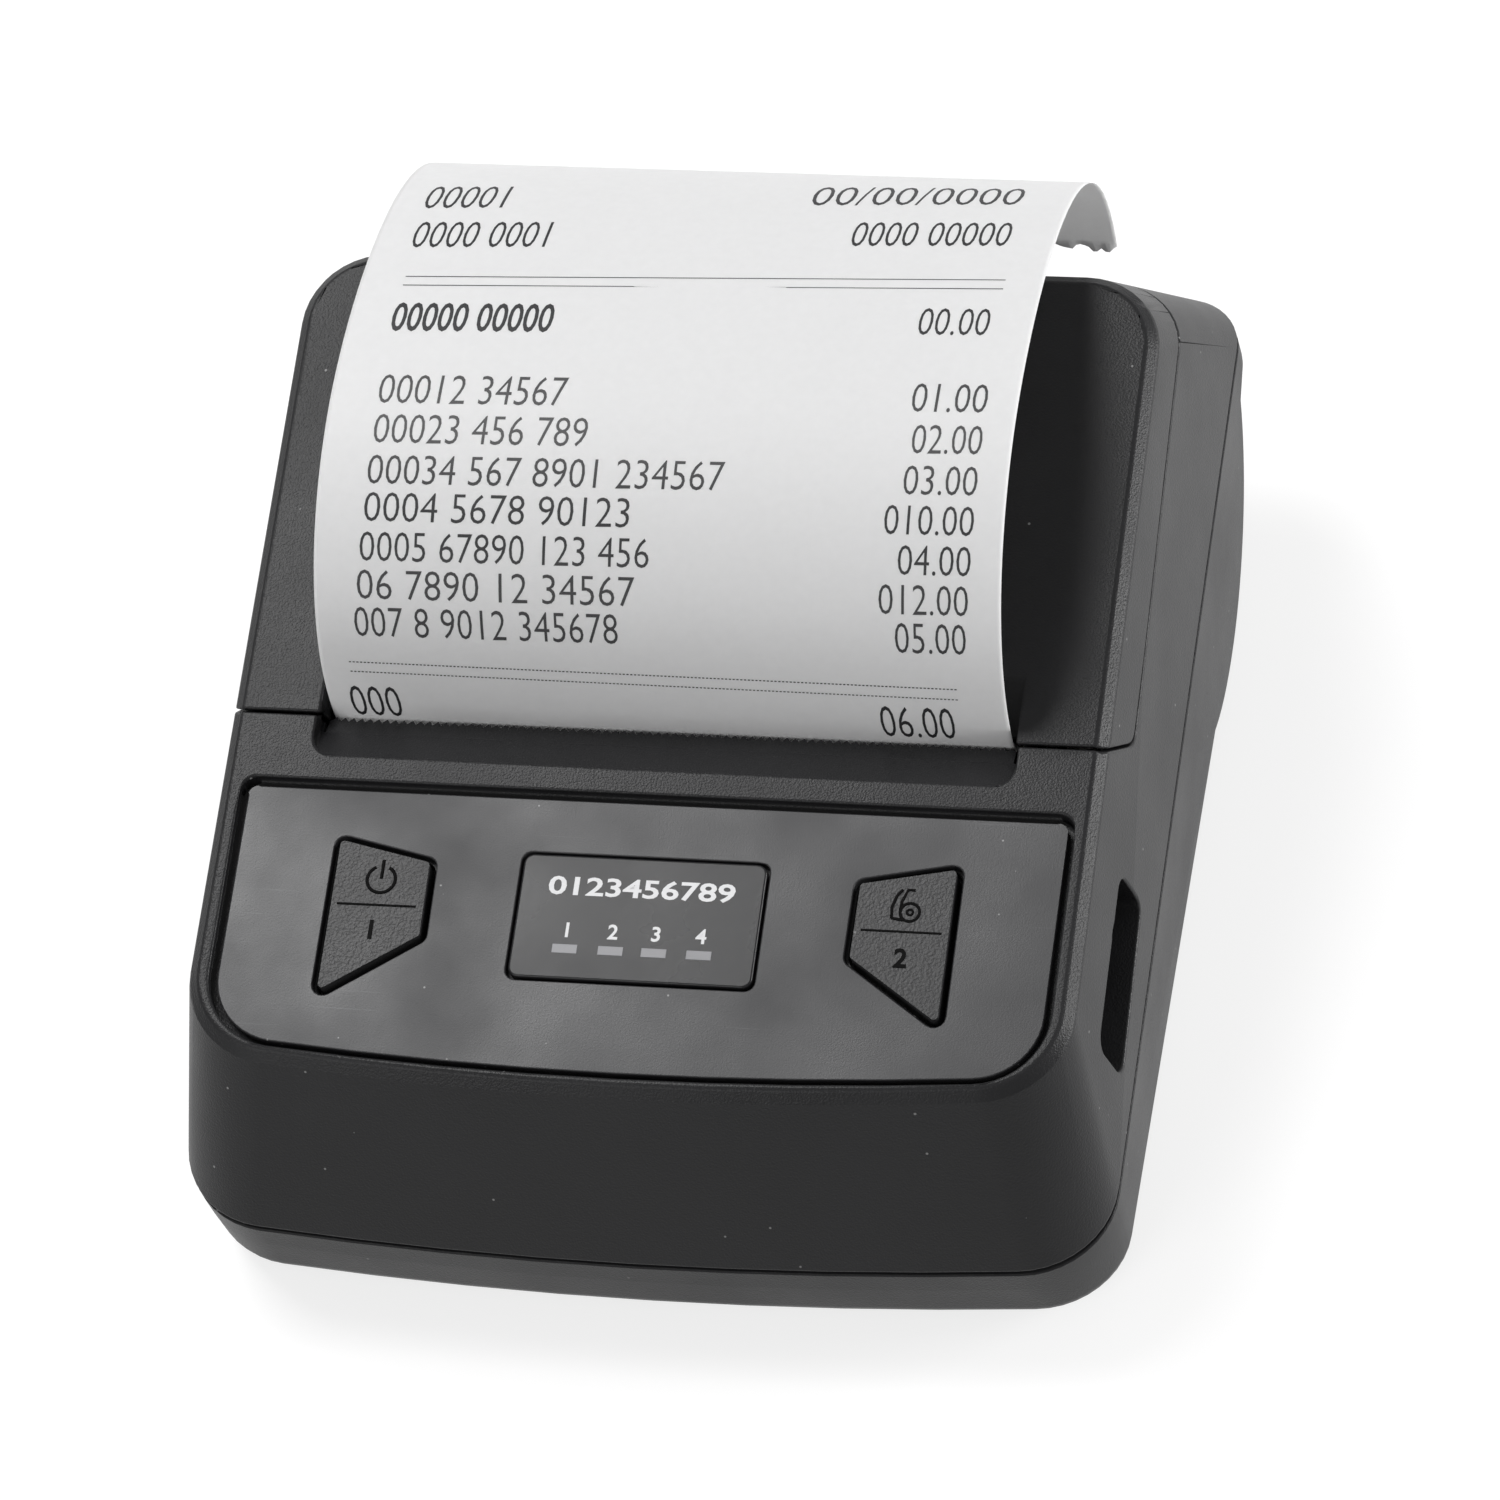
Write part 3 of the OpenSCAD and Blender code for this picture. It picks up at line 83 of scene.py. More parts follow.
def blank_material(name):
    material = bpy.data.materials.new(name)
    material.use_nodes = True
    return material, material.node_tree, material.node_tree.nodes["Principled BSDF"]


def maths(tree, operation, first, second):
    """One sum on a socket and a second socket or number."""
    step = tree.nodes.new("ShaderNodeMath")
    step.operation = operation
    link(tree, first, step.inputs[0])
    if isinstance(second, float):
        step.inputs[1].default_value = second
    else:
        link(tree, second, step.inputs[1])
    return step.outputs[0]


def seen_rays(tree):
    """1 for camera, glossy and transmission rays, which show the surround, and 0 for others."""
    path = tree.nodes.new("ShaderNodeLightPath")
    total = path.outputs["Is Camera Ray"]
    for ray in ("Is Glossy Ray", "Is Transmission Ray"):
        total = maths(tree, "MAXIMUM", total, path.outputs[ray])
    return total


TABLE_HALF, TABLE_GREY, TABLE_GLOW = 4, 0.3, 0.75
bm = bmesh.new()
bmesh.ops.create_grid(bm, x_segments=1, y_segments=1, size=TABLE_HALF)
table = bpy.data.objects.new("table_top", bpy.data.meshes.new("table_top"))
bm.to_mesh(table.data)
bm.free()
bpy.context.scene.collection.objects.link(table)
top, tree, shader = blank_material("table_white")
shader.inputs["Base Color"].default_value = (TABLE_GREY, TABLE_GREY, TABLE_GREY, 1)
shader.inputs["Roughness"].default_value = 0.9
shader.inputs["Specular IOR Level"].default_value = 0.1
shader.inputs["Emission Color"].default_value = (1, 1, 1, 1)
link(tree, maths(tree, "MULTIPLY", seen_rays(tree), TABLE_GLOW),
     shader.inputs["Emission Strength"])
table.data.materials.append(top)

world = bpy.data.worlds.new("studio")
world.use_nodes = True
bpy.context.scene.world = world
surround = world.node_tree.nodes["Background"]
surround.inputs["Color"].default_value = (1, 1, 1, 1)
surround.inputs["Strength"].default_value = 0.38


PRINTER_MIDDLE = Vector((0, 0, 0.04))


def softbox(name, place, size, watts):
    """A square soft light that faces the printer."""
    lamp = bpy.data.lights.new(name, "AREA")
    lamp.size = size
    lamp.energy = watts
    box = bpy.data.objects.new(name, lamp)
    box.location = place
    box.rotation_euler = (PRINTER_MIDDLE - Vector(place)).to_track_quat("-Z", "Y").to_euler()
    bpy.context.scene.collection.objects.link(box)


softbox("light_rear_left", (-0.48, 0.3, 1.08), 0.5, 10)
softbox("light_right", (1.1, 0.3, 0.25), 0.5, 12)
softbox("light_front", (-0.5, -1.1, 0.7), 0.6, 4.5)
bpy.context.scene.view_settings.view_transform = "Standard"


# Case plastic: the upper housing, the paper lid and the base are moulded in black ABS with a fine
# spark texture. Their edges come out of the mould with a small radius, so each is a copy of the
# solid with its outer edges rounded. A few specks of dust lie on them.
def noise(tree, place, scale, detail=2.0, rough=0.5):
    grain = tree.nodes.new("ShaderNodeTexNoise")
    grain.inputs["Scale"].default_value = scale
    grain.inputs["Detail"].default_value = detail
    grain.inputs["Roughness"].default_value = rough
    link(tree, place, grain.inputs["Vector"])
    return grain.outputs["Fac"]


def ranged(tree, value, low, high, out_low, out_high):
    step = tree.nodes.new("ShaderNodeMapRange")
    for name, number in (("From Min", low), ("From Max", high), ("To Min", out_low),
                         ("To Max", out_high)):
        step.inputs[name].default_value = number
    link(tree, value, step.inputs["Value"])
    return step.outputs[0]


def mixed(tree, share, first, second):
    """A colour between two others; each is a colour or a socket."""
    mix = tree.nodes.new("ShaderNodeMix")
    mix.data_type = "RGBA"
    link(tree, share, mix.inputs["Factor"])
    for socket, colour in ((mix.inputs["A"], first), (mix.inputs["B"], second)):
        if isinstance(colour, tuple):
            socket.default_value = (*colour, 1)
        else:
            link(tree, colour, socket)
    return mix.outputs["Result"]


def bumped(tree, shader, height, distance, strength=1.0):
    bump = tree.nodes.new("ShaderNodeBump")
    bump.inputs["Distance"].default_value = distance
    bump.inputs["Strength"].default_value = strength
    link(tree, height, bump.inputs["Height"])
    link(tree, bump.outputs[0], shader.inputs["Normal"])


def object_place(tree):
    return tree.nodes.new("ShaderNodeTexCoord").outputs["Object"]


def moulded(name, colour, rough, grain=4200, depth=0.00005, dust=0.0, specular=0.5):
    """Moulded plastic: an even colour with faint clouds, a spark texture and a little dust."""
    material, tree, shader = blank_material(name)
    place = object_place(tree)
    cloud = noise(tree, place, 60, 3)
    tone = mixed(tree, ranged(tree, cloud, 0.35, 0.65, 0, 1), tuple(c * 0.9 for c in colour),
                 tuple(c * 1.1 for c in colour))
    if dust:
        cells = tree.nodes.new("ShaderNodeTexVoronoi")
        cells.inputs["Scale"].default_value = 260
        link(tree, place, cells.inputs["Vector"])
        speck = ranged(tree, cells.outputs["Distance"], 0.03, 0.05, dust, 0)
        tone = mixed(tree, speck, tone, (0.3, 0.3, 0.3))
    link(tree, tone, shader.inputs["Base Color"])
    link(tree, ranged(tree, cloud, 0.3, 0.7, rough - 0.04, rough + 0.04),
         shader.inputs["Roughness"])
    shader.inputs["Specular IOR Level"].default_value = specular
    bumped(tree, shader, noise(tree, place, grain, 1), depth)
    return material


# Corners closer than WELD are one corner, and edges shorter than SLIVER vanish. A face whose
# middle is farther out than SIDE_OUT lies on the printer's outer side. Edges longer than SHORTEST
# that turn by more than SHARP are rounded. In metres and radians.
WELD, SLIVER, SIDE_OUT, SHORTEST = 3e-6, 2e-6, 0.044, 0.00025
SHARP = math.radians(26)


def sky_edges(bm, spared):
    """The convex sharp edges that can be seen from outside; those in the spared box are left as
    they are."""
    lift = 2e-5
    tree = BVHTree.FromBMesh(bm)
    found = []
    for edge in bm.edges:
        if len(edge.link_faces) != 2 or edge.calc_length() < SHORTEST:
            continue
        if edge.calc_face_angle_signed(0) < SHARP:
            continue
        way = (edge.link_faces[0].normal + edge.link_faces[1].normal).normalized()
        middle = (edge.verts[0].co + edge.verts[1].co) / 2
        if spared and all(a < m < b for a, m, b in zip(spared[0], middle, spared[1])):
            continue
        if tree.ray_cast(middle + way * lift, way)[0] is None:
            found.append(edge)
    return found


def eased(node, radius, segments=2, spared=None, split=False):
    """A copy of a solid whose outer edges are rounded; it stands for the solid. Split cuts its
    flat faces into triangles first, but for the outer sides, so that none folds over itself."""
    mesh = nodes[node].data.copy()
    mesh.name = node + "_eased"
    mesh.materials.clear()
    bm = bmesh.new()
    bm.from_mesh(mesh)
    bmesh.ops.remove_doubles(bm, verts=bm.verts, dist=WELD)
    bmesh.ops.dissolve_degenerate(bm, edges=bm.edges, dist=SLIVER)
    # Faces that turn by less than this are one flat face
    flat = math.radians(0.6 if split else 0.05)
    bmesh.ops.dissolve_limit(bm, angle_limit=flat, verts=bm.verts, edges=bm.edges)
    if split:
        bmesh.ops.triangulate(bm, faces=[
            face for face in bm.faces
            if len(face.verts) > 4 and abs(face.calc_center_median().x) < SIDE_OUT])
    bmesh.ops.recalc_face_normals(bm, faces=bm.faces)
    weight = bm.edges.layers.float.new("bevel_weight_edge")
    for edge in sky_edges(bm, spared):
        edge[weight] = 1
    for face in bm.faces:
        face.smooth = True
    bm.to_mesh(mesh)
    bm.free()
    mesh.set_sharp_from_angle(angle=SHARP)
    piece = bpy.data.objects.new(node + "_skin", mesh)
    bpy.context.scene.collection.objects.link(piece)
    round_off = piece.modifiers.new("eased_edges", "BEVEL")
    round_off.width = radius
    round_off.segments = segments
    round_off.limit_method = "WEIGHT"
    round_off.use_clamp_overlap = False
    even = piece.modifiers.new("even_shading", "WEIGHTED_NORMAL")
    even.keep_sharp = True
    return piece


def placed(piece, body, slot, material, *stands_for):
    """Gives a piece its material and body, and hides the solids that it stands for. The slot is
    not used.
    """
    piece.data.materials.append(material)
    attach(piece, body)
    if stands_for:
        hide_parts(*stands_for)


case_black = moulded("case_black", (0.014, 0.014, 0.015), 0.4, dust=0.7, specular=0.24)
# The housing's edges right beside the tear bar stay sharp
low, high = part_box("tear_bar")
MARGIN = Vector((0.001, 0.0005, 0.0015))
beside_bar = (low - MARGIN, high + MARGIN)
placed(eased("upper_housing", 0.0003, 3, spared=beside_bar, split=True), "case", "case_black",
       case_black, "upper_housing")
placed(eased("paper_lid", 0.0003, 3, split=True), "lid", "case_black", case_black, "paper_lid")
base_black = moulded("base_black", (0.018, 0.018, 0.019), 0.38, dust=0.5, specular=0.13)
placed(eased("base_shell", 0.00022), "case", "base_black", base_black, "base_shell")
placed(eased("battery_door", 0.00015), "door", "base_black", base_black, "battery_door")


# Control panel: a printed polycarbonate sheet stuck into the housing's recess. It is smoother than
# the case, lightly scratched in use, and shows fine dust.
def scratched(name, colour, rough):
    """A smooth sheet with fine scratches two ways, specks of dust and smears."""
    material, tree, shader = blank_material(name)
    place = object_place(tree)
    lines = None
    for angle, patches, seed in ((0.5, 45.0, 0.0), (-0.9, 35.0, 3.0)):
        # Grain drawn out along one line makes scratches, and coarse patches break them up
        drawn_out = tree.nodes.new("ShaderNodeMapping")
        drawn_out.inputs["Rotation"].default_value = (0, 0, angle)
        drawn_out.inputs["Scale"].default_value = (40, 2600, 40)
        drawn_out.inputs["Location"].default_value = (seed, seed, 0)
        link(tree, place, drawn_out.inputs["Vector"])
        streak = ranged(tree, noise(tree, drawn_out.outputs[0], 1.0, 1), 0.72, 0.76, 0, 1)
        patch = ranged(tree, noise(tree, place, patches, 1), 0.55, 0.65, 0, 0.6)
        marks = maths(tree, "MULTIPLY", streak, patch)
        lines = marks if lines is None else maths(tree, "MAXIMUM", lines, marks)
    cells = tree.nodes.new("ShaderNodeTexVoronoi")
    cells.inputs["Scale"].default_value = 300
    link(tree, place, cells.inputs["Vector"])
    speck = ranged(tree, cells.outputs["Distance"], 0.025, 0.045, 0.8, 0)
    tone = mixed(tree, lines, colour, tuple(c * 2.2 for c in colour))
    tone = mixed(tree, speck, tone, (0.3, 0.3, 0.3))
    link(tree, tone, shader.inputs["Base Color"])
    smear = noise(tree, place, 55, 4)
    link(tree, ranged(tree, smear, 0.3, 0.7, rough - 0.1, rough + 0.1),
         shader.inputs["Roughness"])
    shader.inputs["Specular IOR Level"].default_value = 0.42
    bumped(tree, shader, noise(tree, place, 5200, 1), 0.000012)
    return material


panel_grey = scratched("panel_grey", (0.031, 0.031, 0.033), 0.42)
placed(eased("panel_sheet", 0.00015), "case", "panel_grey", panel_grey, "panel_sheet")


# Status window: a smoked plastic plate over four light pipes. Each light pipe's end shows as a
# pale slot, with its plain number over it, and a row of plain numbers heads the plate.
def curve_mesh(name, data, place):
    """A text or curve object turned into a mesh whose points are already in place."""
    shape = bpy.data.objects.new(name, data)
    bpy.context.scene.collection.objects.link(shape)
    bpy.context.view_layer.update()
    mesh = bpy.data.meshes.new_from_object(shape.evaluated_get(
        bpy.context.evaluated_depsgraph_get()))
    bpy.data.objects.remove(shape)
    bpy.data.curves.remove(data)
    mesh.transform(place)
    mesh.name = name
    return mesh


def lettered(name, words, size, align, thick, width=None, weight=0.0):
    """Plain numbers as a flat mesh, in millimetres, with its foot on the X axis."""
    text = bpy.data.curves.new(name, "FONT")
    text.body = words
    text.size = size
    text.align_x = align
    text.extrude = thick / 2
    text.offset = weight
    text.resolution_u = 3
    mesh = curve_mesh(name, text, Matrix.Identity(4))
    if width:
        xs = [v.co.x for v in mesh.vertices]
        span = max(xs) - min(xs)
        middle = {"LEFT": min(xs), "CENTER": (max(xs) + min(xs)) / 2, "RIGHT": max(xs)}[align]
        for v in mesh.vertices:
            v.co.x = (v.co.x - middle) * width / span
    return mesh


def joined(name, meshes):
    """Several meshes as one object."""
    bm = bmesh.new()
    for mesh in meshes:
        bm.from_mesh(mesh)
        bpy.data.meshes.remove(mesh)
    bmesh.ops.remove_doubles(bm, verts=bm.verts, dist=1e-8)
    bmesh.ops.recalc_face_normals(bm, faces=bm.faces)
    mesh = bpy.data.meshes.new(name)
    bm.to_mesh(mesh)
    bm.free()
    piece = bpy.data.objects.new(name, mesh)
    bpy.context.scene.collection.objects.link(piece)
    return piece


def slab_mesh(name, low, high):
    """A small plate between two corners, in millimetres on the sloping face."""
    bm = bmesh.new()
    bmesh.ops.create_cube(bm, size=1)
    for v in bm.verts:
        v.co = [low[i] if v.co[i] < 0 else high[i] for i in range(3)]
    bmesh.ops.bevel(bm, geom=bm.edges[:], offset=0.04, segments=2, profile=0.5, affect="EDGES",
                    material=-1)
    mesh = bpy.data.meshes.new(name)
    bm.to_mesh(mesh)
    bm.free()
    return mesh


def glossy(name, colour, rough, smear, specular=0.5):
    """A smooth surface, a little smeared and uneven."""
    material, tree, shader = blank_material(name)
    place = object_place(tree)
    cloud = noise(tree, place, 90, 4)
    link(tree, mixed(tree, ranged(tree, cloud, 0.35, 0.65, 0, 1), colour,
                     tuple(c * 1.3 for c in colour)), shader.inputs["Base Color"])
    link(tree, ranged(tree, cloud, 0.3, 0.7, rough, rough + smear), shader.inputs["Roughness"])
    shader.inputs["Specular IOR Level"].default_value = specular
    bumped(tree, shader, noise(tree, place, 700, 2), 0.000006)
    return material


def inked(name, colour, rough=0.6):
    """Printing ink, a little uneven."""
    material, tree, shader = blank_material(name)
    grain = noise(tree, object_place(tree), 5000, 2)
    link(tree, mixed(tree, grain, tuple(c * 0.85 for c in colour), colour),
         shader.inputs["Base Color"])
    shader.inputs["Roughness"].default_value = rough
    return material


# The height of the window's face from the top face, and the middles of the light pipes across
# it, in millimetres
WINDOW_TOP = -0.6
LAMP_X = (-7.9, -2.6, 2.4, 7.6)
placed(eased("status_window", 0.00025, 3), "case", "window_smoke",
       glossy("window_smoke", (0.01, 0.01, 0.011), 0.24, 0.1, 0.3), "status_window")
slots = []
for x in LAMP_X:
    slots.append(slab_mesh("slot", (x - 1.45, -28.1, WINDOW_TOP - 0.1),
                           (x + 1.45, -27.0, WINDOW_TOP + 0.03)))
lenses = joined("lamp_lenses", slots)
lenses.data.transform(SLOPE)
placed(lenses, "case", "lamp_clear", glossy("lens_grey", (0.16, 0.16, 0.17), 0.3, 0.1))
signs = [lettered("scale", "0123456789", 3.1, "CENTER", 0.04, 21.6, 0.06)]
signs[0].transform(Matrix.Translation((0, -20.9, WINDOW_TOP)))
for number, x in enumerate(LAMP_X, 1):
    figure = lettered("figure", str(number), 2.5, "CENTER", 0.04, weight=0.05)
    figure.transform(Matrix.Translation((x, -26.1, WINDOW_TOP)))
    signs.append(figure)
figures = joined("window_figures", signs)
figures.data.transform(SLOPE)
placed(figures, "case", "lamp_clear", inked("window_print", (0.72, 0.72, 0.73)))


# Buttons: two rubber-like caps in the panel, power on the left and paper feed on the right. Their
# signs stand a tenth of a millimetre proud of the cap: a sign, a line under it and a number.
def stroke(name, points, thick, closed=False):
    """A raised line of round section through points on a cap, in millimetres."""
    line = bpy.data.curves.new(name, "CURVE")
    line.dimensions = "3D"
    line.bevel_depth = thick / 2
    line.bevel_resolution = 2
    line.use_fill_caps = True
    run = line.splines.new("POLY")
    run.points.add(len(points) - 1)
    for point, at in zip(run.points, points):
        point.co = (*at, 0, 1)
    run.use_cyclic_u = closed
    return curve_mesh(name, line, Matrix.Diagonal((1, 1, 0.6, 1)))


def ring_points(centre, radius, start, end, count=28):
    """Points on an arc, between two angles in degrees."""
    return [(centre[0] + radius * math.cos(math.radians(a)),
             centre[1] + radius * math.sin(math.radians(a)))
            for a in (start + (end - start) * i / count for i in range(count + 1))]


# The height of the caps' faces from the top face, how far the strokes' middles stand over them,
# and the middles of the power ring and the feed roll, in millimetres
CAP_TOP, STROKE_LIFT = -0.4, 0.02
POWER_RING, FEED_ROLL = (-30.3, -20.3), (31.0, -21.1)
button_black = moulded("button_black", (0.02, 0.02, 0.021), 0.5, grain=3000, depth=0.00009,
                       dust=0.4)
for node, body in (("power_button", "power_key"), ("feed_button", "feed_key")):
    placed(eased(node, 0.00025, 3), body, "button_black", button_black, node)
power_signs = [
    stroke("power_ring", ring_points(POWER_RING, 1.65, 118, 422), 0.4),
    stroke("power_bar", [(-30.3, -17.9), (-30.3, -20.2)], 0.4),
    stroke("power_line", [(-35.0, -23.5), (-25.8, -23.45)], 0.28),
    lettered("power_number", "1", 3.2, "CENTER", 0.16, weight=0.06)]
power_signs[-1].transform(Matrix.Translation((-30.6, -27.6, 0)))
feed_signs = [
    stroke("feed_roll", ring_points(FEED_ROLL, 1.1, 0, 360)[:-1], 0.36, True),
    stroke("feed_hub", ring_points(FEED_ROLL, 0.35, 0, 360, 10)[:-1], 0.3, True),
    stroke("feed_tail", [(29.9, -21.1), (29.95, -19.9), (30.5, -18.4), (31.3, -18.4)], 0.36),
    stroke("feed_edge", [(29.0, -21.9), (28.9, -20.6), (29.3, -19.2), (29.9, -18.4)], 0.36),
    stroke("feed_foot", [(29.0, -21.9), (30.3, -22.1)], 0.36),
    stroke("feed_line", [(25.7, -23.5), (34.9, -23.5)], 0.28),
    lettered("feed_number", "2", 3.2, "CENTER", 0.16, weight=0.06)]
feed_signs[-1].transform(Matrix.Translation((30.6, -27.8, 0)))
sign_black = moulded("sign_black", (0.003, 0.003, 0.003), 0.7, grain=4200, depth=0.00001,
                     specular=0.08)
for name, body, marks in (("power_sign", "power_key", power_signs),
                          ("feed_sign", "feed_key", feed_signs)):
    sign = joined(name, marks)
    sign.data.transform(SLOPE @ Matrix.Translation((0, 0, CAP_TOP + STROKE_LIFT)))
    placed(sign, body, "button_black", sign_black)


# The receipt: thermal paper, 79.5 mm wide, that comes off the roll, passes the print head, leaves
# by the slot behind the tear bar and arches back over the lid to its torn end. PAPER_HALF is half
# its width and PAPER_T its thickness, in millimetres.
PAPER_HALF, PAPER_T = 39.75, 0.07


def cubic(points, count):
    """Points along a cubic curve, without its first."""
    found = []
    for i in range(1, count + 1):
        t = i / count
        found.append(tuple((1 - t) ** 3 * points[0][k] + 3 * (1 - t) ** 2 * t * points[1][k]
                           + 3 * (1 - t) * t * t * points[2][k] + t ** 3 * points[3][k]
                           for k in (0, 1)))
    return found


def paper_route():
    """The strip's line in side view: inside, up to the slot, and from the slot to its end."""
    # The middles of the platen and the roll, and the paper's radius round each
    platen, reach, roll, wound = (9, -8.6), 5.15, (41, -29), 22.75
    away = (roll[0] - platen[0], roll[1] - platen[1])
    far = math.hypot(*away)
    off = math.atan2(away[1], away[0]) - math.asin((wound - reach) / far) - math.pi / 2
    inside = [(roll[0] + wound * math.cos(off), roll[1] + wound * math.sin(off))]
    for i in range(13):
        a = off + (-math.pi - off) * i / 12
        inside.append((platen[0] + reach * math.cos(a), platen[1] + reach * math.sin(a)))
    slot = (1.03, -4.3)
    inside += cubic([(3.85, -8.6), (3.85, -7.0), (1.1, -6.2), slot], 10)
    # The arch's highest point over the top face
    crown = (28.6, 19)
    outside = cubic([slot, (2.2, 10.07), (12.584, crown[1]), crown], 40)
    outside += cubic([crown, (46.7, crown[1]), (86.4, 2.3), (76.3, -27.5)], 30)
    return inside, [slot] + outside


inside, outside = paper_route()


def along(line):
    """Lengths along a line of points."""
    total = [0.0]
    for a, b in zip(line, line[1:]):
        total.append(total[-1] + math.hypot(b[0] - a[0], b[1] - a[1]))
    return total


out_length = along(outside)


def on_strip(across, length, proud=0.0):
    """The point on the paper's printed side at a place across it and past the slot."""
    length = min(max(length, 0.0), out_length[-1] - 1e-6)
    i = max(k for k in range(len(out_length) - 1) if out_length[k] <= length)
    a, b = Vector(outside[i]), Vector(outside[i + 1])
    share = (length - out_length[i]) / (out_length[i + 1] - out_length[i])
    point = a.lerp(b, share)
    ways = []
    for k in (i, i + 1):
        before, after = outside[max(k - 1, 0)], outside[min(k + 1, len(outside) - 1)]
        ways.append(Vector((after[0] - before[0], after[1] - before[1])).normalized())
    way = ways[0].lerp(ways[1], share).normalized()
    # The printed side faces forward and up, to the left of the way the paper runs
    point += Vector((-way.y, way.x)) * proud
    return Vector((across, point.x, point.y))


whole = inside[:-1] + outside
lengths = along(whole)
# How far each column of the torn end is bitten back, in millimetres: fine nicks, two slow
# drifts, and three bites near the right edge, each with its column, half width and depth
dice = random.Random(7)
ACROSS = 160
BITES = ((151.5, 2.6, 1.5), (156, 1.5, 0.6), (160, 1.8, 0.9))
notches = [dice.uniform(0, 0.5) ** 1.5 for _ in range(ACROSS + 1)]
for reach in (13, 41):
    drift = [dice.uniform(0, 1.15) ** 3 for _ in range(reach + 2)]
    for i in range(ACROSS + 1):
        at = i / ACROSS * reach
        k = int(at)
        notches[i] += drift[k] + (drift[k + 1] - drift[k]) * (at - k)
for middle, half, deep in BITES:
    for i in range(ACROSS + 1):
        notches[i] += deep * max(1 - abs(i - middle) / half, 0)
bm = bmesh.new()
bmesh.ops.create_grid(bm, x_segments=ACROSS, y_segments=len(whole) - 1, size=1)
uv = bm.loops.layers.uv.new("paper")
bm.verts.ensure_lookup_table()
places = {}
for v in bm.verts:
    column = round((v.co.x + 1) / 2 * ACROSS)
    run = round((v.co.y + 1) / 2 * (len(whole) - 1))
    places[v] = (column / ACROSS, lengths[run] / lengths[-1])
    y, z = whole[run]
    if run == len(whole) - 1:
        py, pz = whole[-2]
        step = math.hypot(y - py, z - pz)
        pull = min(notches[column], 0.93 * step)
        y, z = y + (py - y) * pull / step, z + (pz - z) * pull / step
    v.co = (-PAPER_HALF + 2 * PAPER_HALF * column / ACROSS, y, z)
for face in bm.faces:
    face.smooth = True
    for loop in face.loops:
        loop[uv].uv = places[loop.vert]
bmesh.ops.recalc_face_normals(bm, faces=bm.faces)
bm.transform(SLOPE)
strip_mesh = bpy.data.meshes.new("receipt")
bm.to_mesh(strip_mesh)
bm.free()
strip = bpy.data.objects.new("receipt", strip_mesh)
bpy.context.scene.collection.objects.link(strip)
thick = strip.modifiers.new("paper", "SOLIDIFY")
thick.thickness = PAPER_T * 0.001
thick.offset = 0
thick.use_even_offset = False


def papered(name, colour, rough):
    """Paper or card: faint fibres, with some light shining through."""
    material, tree, shader = blank_material(name)
    place = object_place(tree)
    fibre = noise(tree, place, 900, 5, 0.6)
    link(tree, mixed(tree, ranged(tree, fibre, 0.3, 0.7, 0, 1), tuple(c * 0.975 for c in colour),
                     colour), shader.inputs["Base Color"])
    shader.inputs["Roughness"].default_value = rough
    shader.inputs["Specular IOR Level"].default_value = 0.3
    shader.inputs["Subsurface Weight"].default_value = 0.5
    shader.inputs["Subsurface Radius"].default_value = (1, 1, 1)
    shader.inputs["Subsurface Scale"].default_value = 0.001
    bumped(tree, shader, fibre, 0.00002, 0.6)
    return material


paper_white = papered("receipt_paper", (0.9, 0.9, 0.905), 0.55)
placed(strip, "lid", "receipt_paper", paper_white, "receipt_strip")


# The print: black rows in the paper's coating, plain numbers on the left and right with double
# rules between them. It lies on the paper as a film FILM thick. The rows slant a little, so each
# has two places along the paper, ROW_HALF to the left and right of its middle, in millimetres.
FILM, ROW_HALF = 0.02, 35


def laid(mesh, left, right):
    """Lays a flat mesh on the strip, at its row's left and right places along the paper."""
    for v in mesh.vertices:
        share = (v.co.x + ROW_HALF) / (2 * ROW_HALF)
        v.co = on_strip(v.co.x, left + (right - left) * share + v.co.y,
                        PAPER_T / 2 + FILM * (1 if v.co.z > 0 else 0.2))
    return mesh


def upright_share(length):
    """How much of the paper's run shows to someone in front; it falls towards the bend."""
    way = (on_strip(0, length + 0.5) - on_strip(0, length)).normalized()
    return max((way - way.dot(right_down_in[2]) * right_down_in[2]).length, 0.55)


# The figures' size, how far their foot lies under the row's place, and how far apart they are cut
FIGURE_SIZE, FIGURE_DROP, FIGURE_CUT = 4.9, 1.45, 0.4


def row(words, x, align, left, right, width, weight=-0.045):
    """A row of figures, cut crosswise so that it follows the paper's bend."""
    mesh = lettered("row", words, FIGURE_SIZE, align, 0.01, width, weight)
    mesh.transform(Matrix.Diagonal((1, 1 / upright_share((left + right) / 2), 1, 1)))
    bm = bmesh.new()
    bm.from_mesh(mesh)
    bmesh.ops.translate(bm, verts=bm.verts, vec=(x, -FIGURE_DROP, 0))
    for i in range(-4, 15):
        bmesh.ops.bisect_plane(bm, geom=bm.verts[:] + bm.edges[:] + bm.faces[:],
                               plane_co=(0, FIGURE_CUT * i, 0), plane_no=(0, 1, 0))
    bm.to_mesh(mesh)
    bm.free()
    return laid(mesh, left, right)


def rule(start, end, left, right, thick=0.14, dash=None):
    """A thin line across the paper, or a row of dashes."""
    bm = bmesh.new()
    runs = [(start, end)]
    if dash:
        count = int((end - start) / (2 * dash))
        runs = [(start + 2 * dash * i, start + 2 * dash * i + dash * 1.2) for i in range(count)]
    for a, b in runs:
        made = bmesh.ops.create_grid(bm, x_segments=1, y_segments=1, size=0.5)["verts"]
        for v in made:
            v.co = (b if v.co.x > 0 else a, thick / 2 if v.co.y > 0 else -thick / 2, 1)
    mesh = bpy.data.meshes.new("rule")
    bm.to_mesh(mesh)
    bm.free()
    return laid(mesh, left, right)


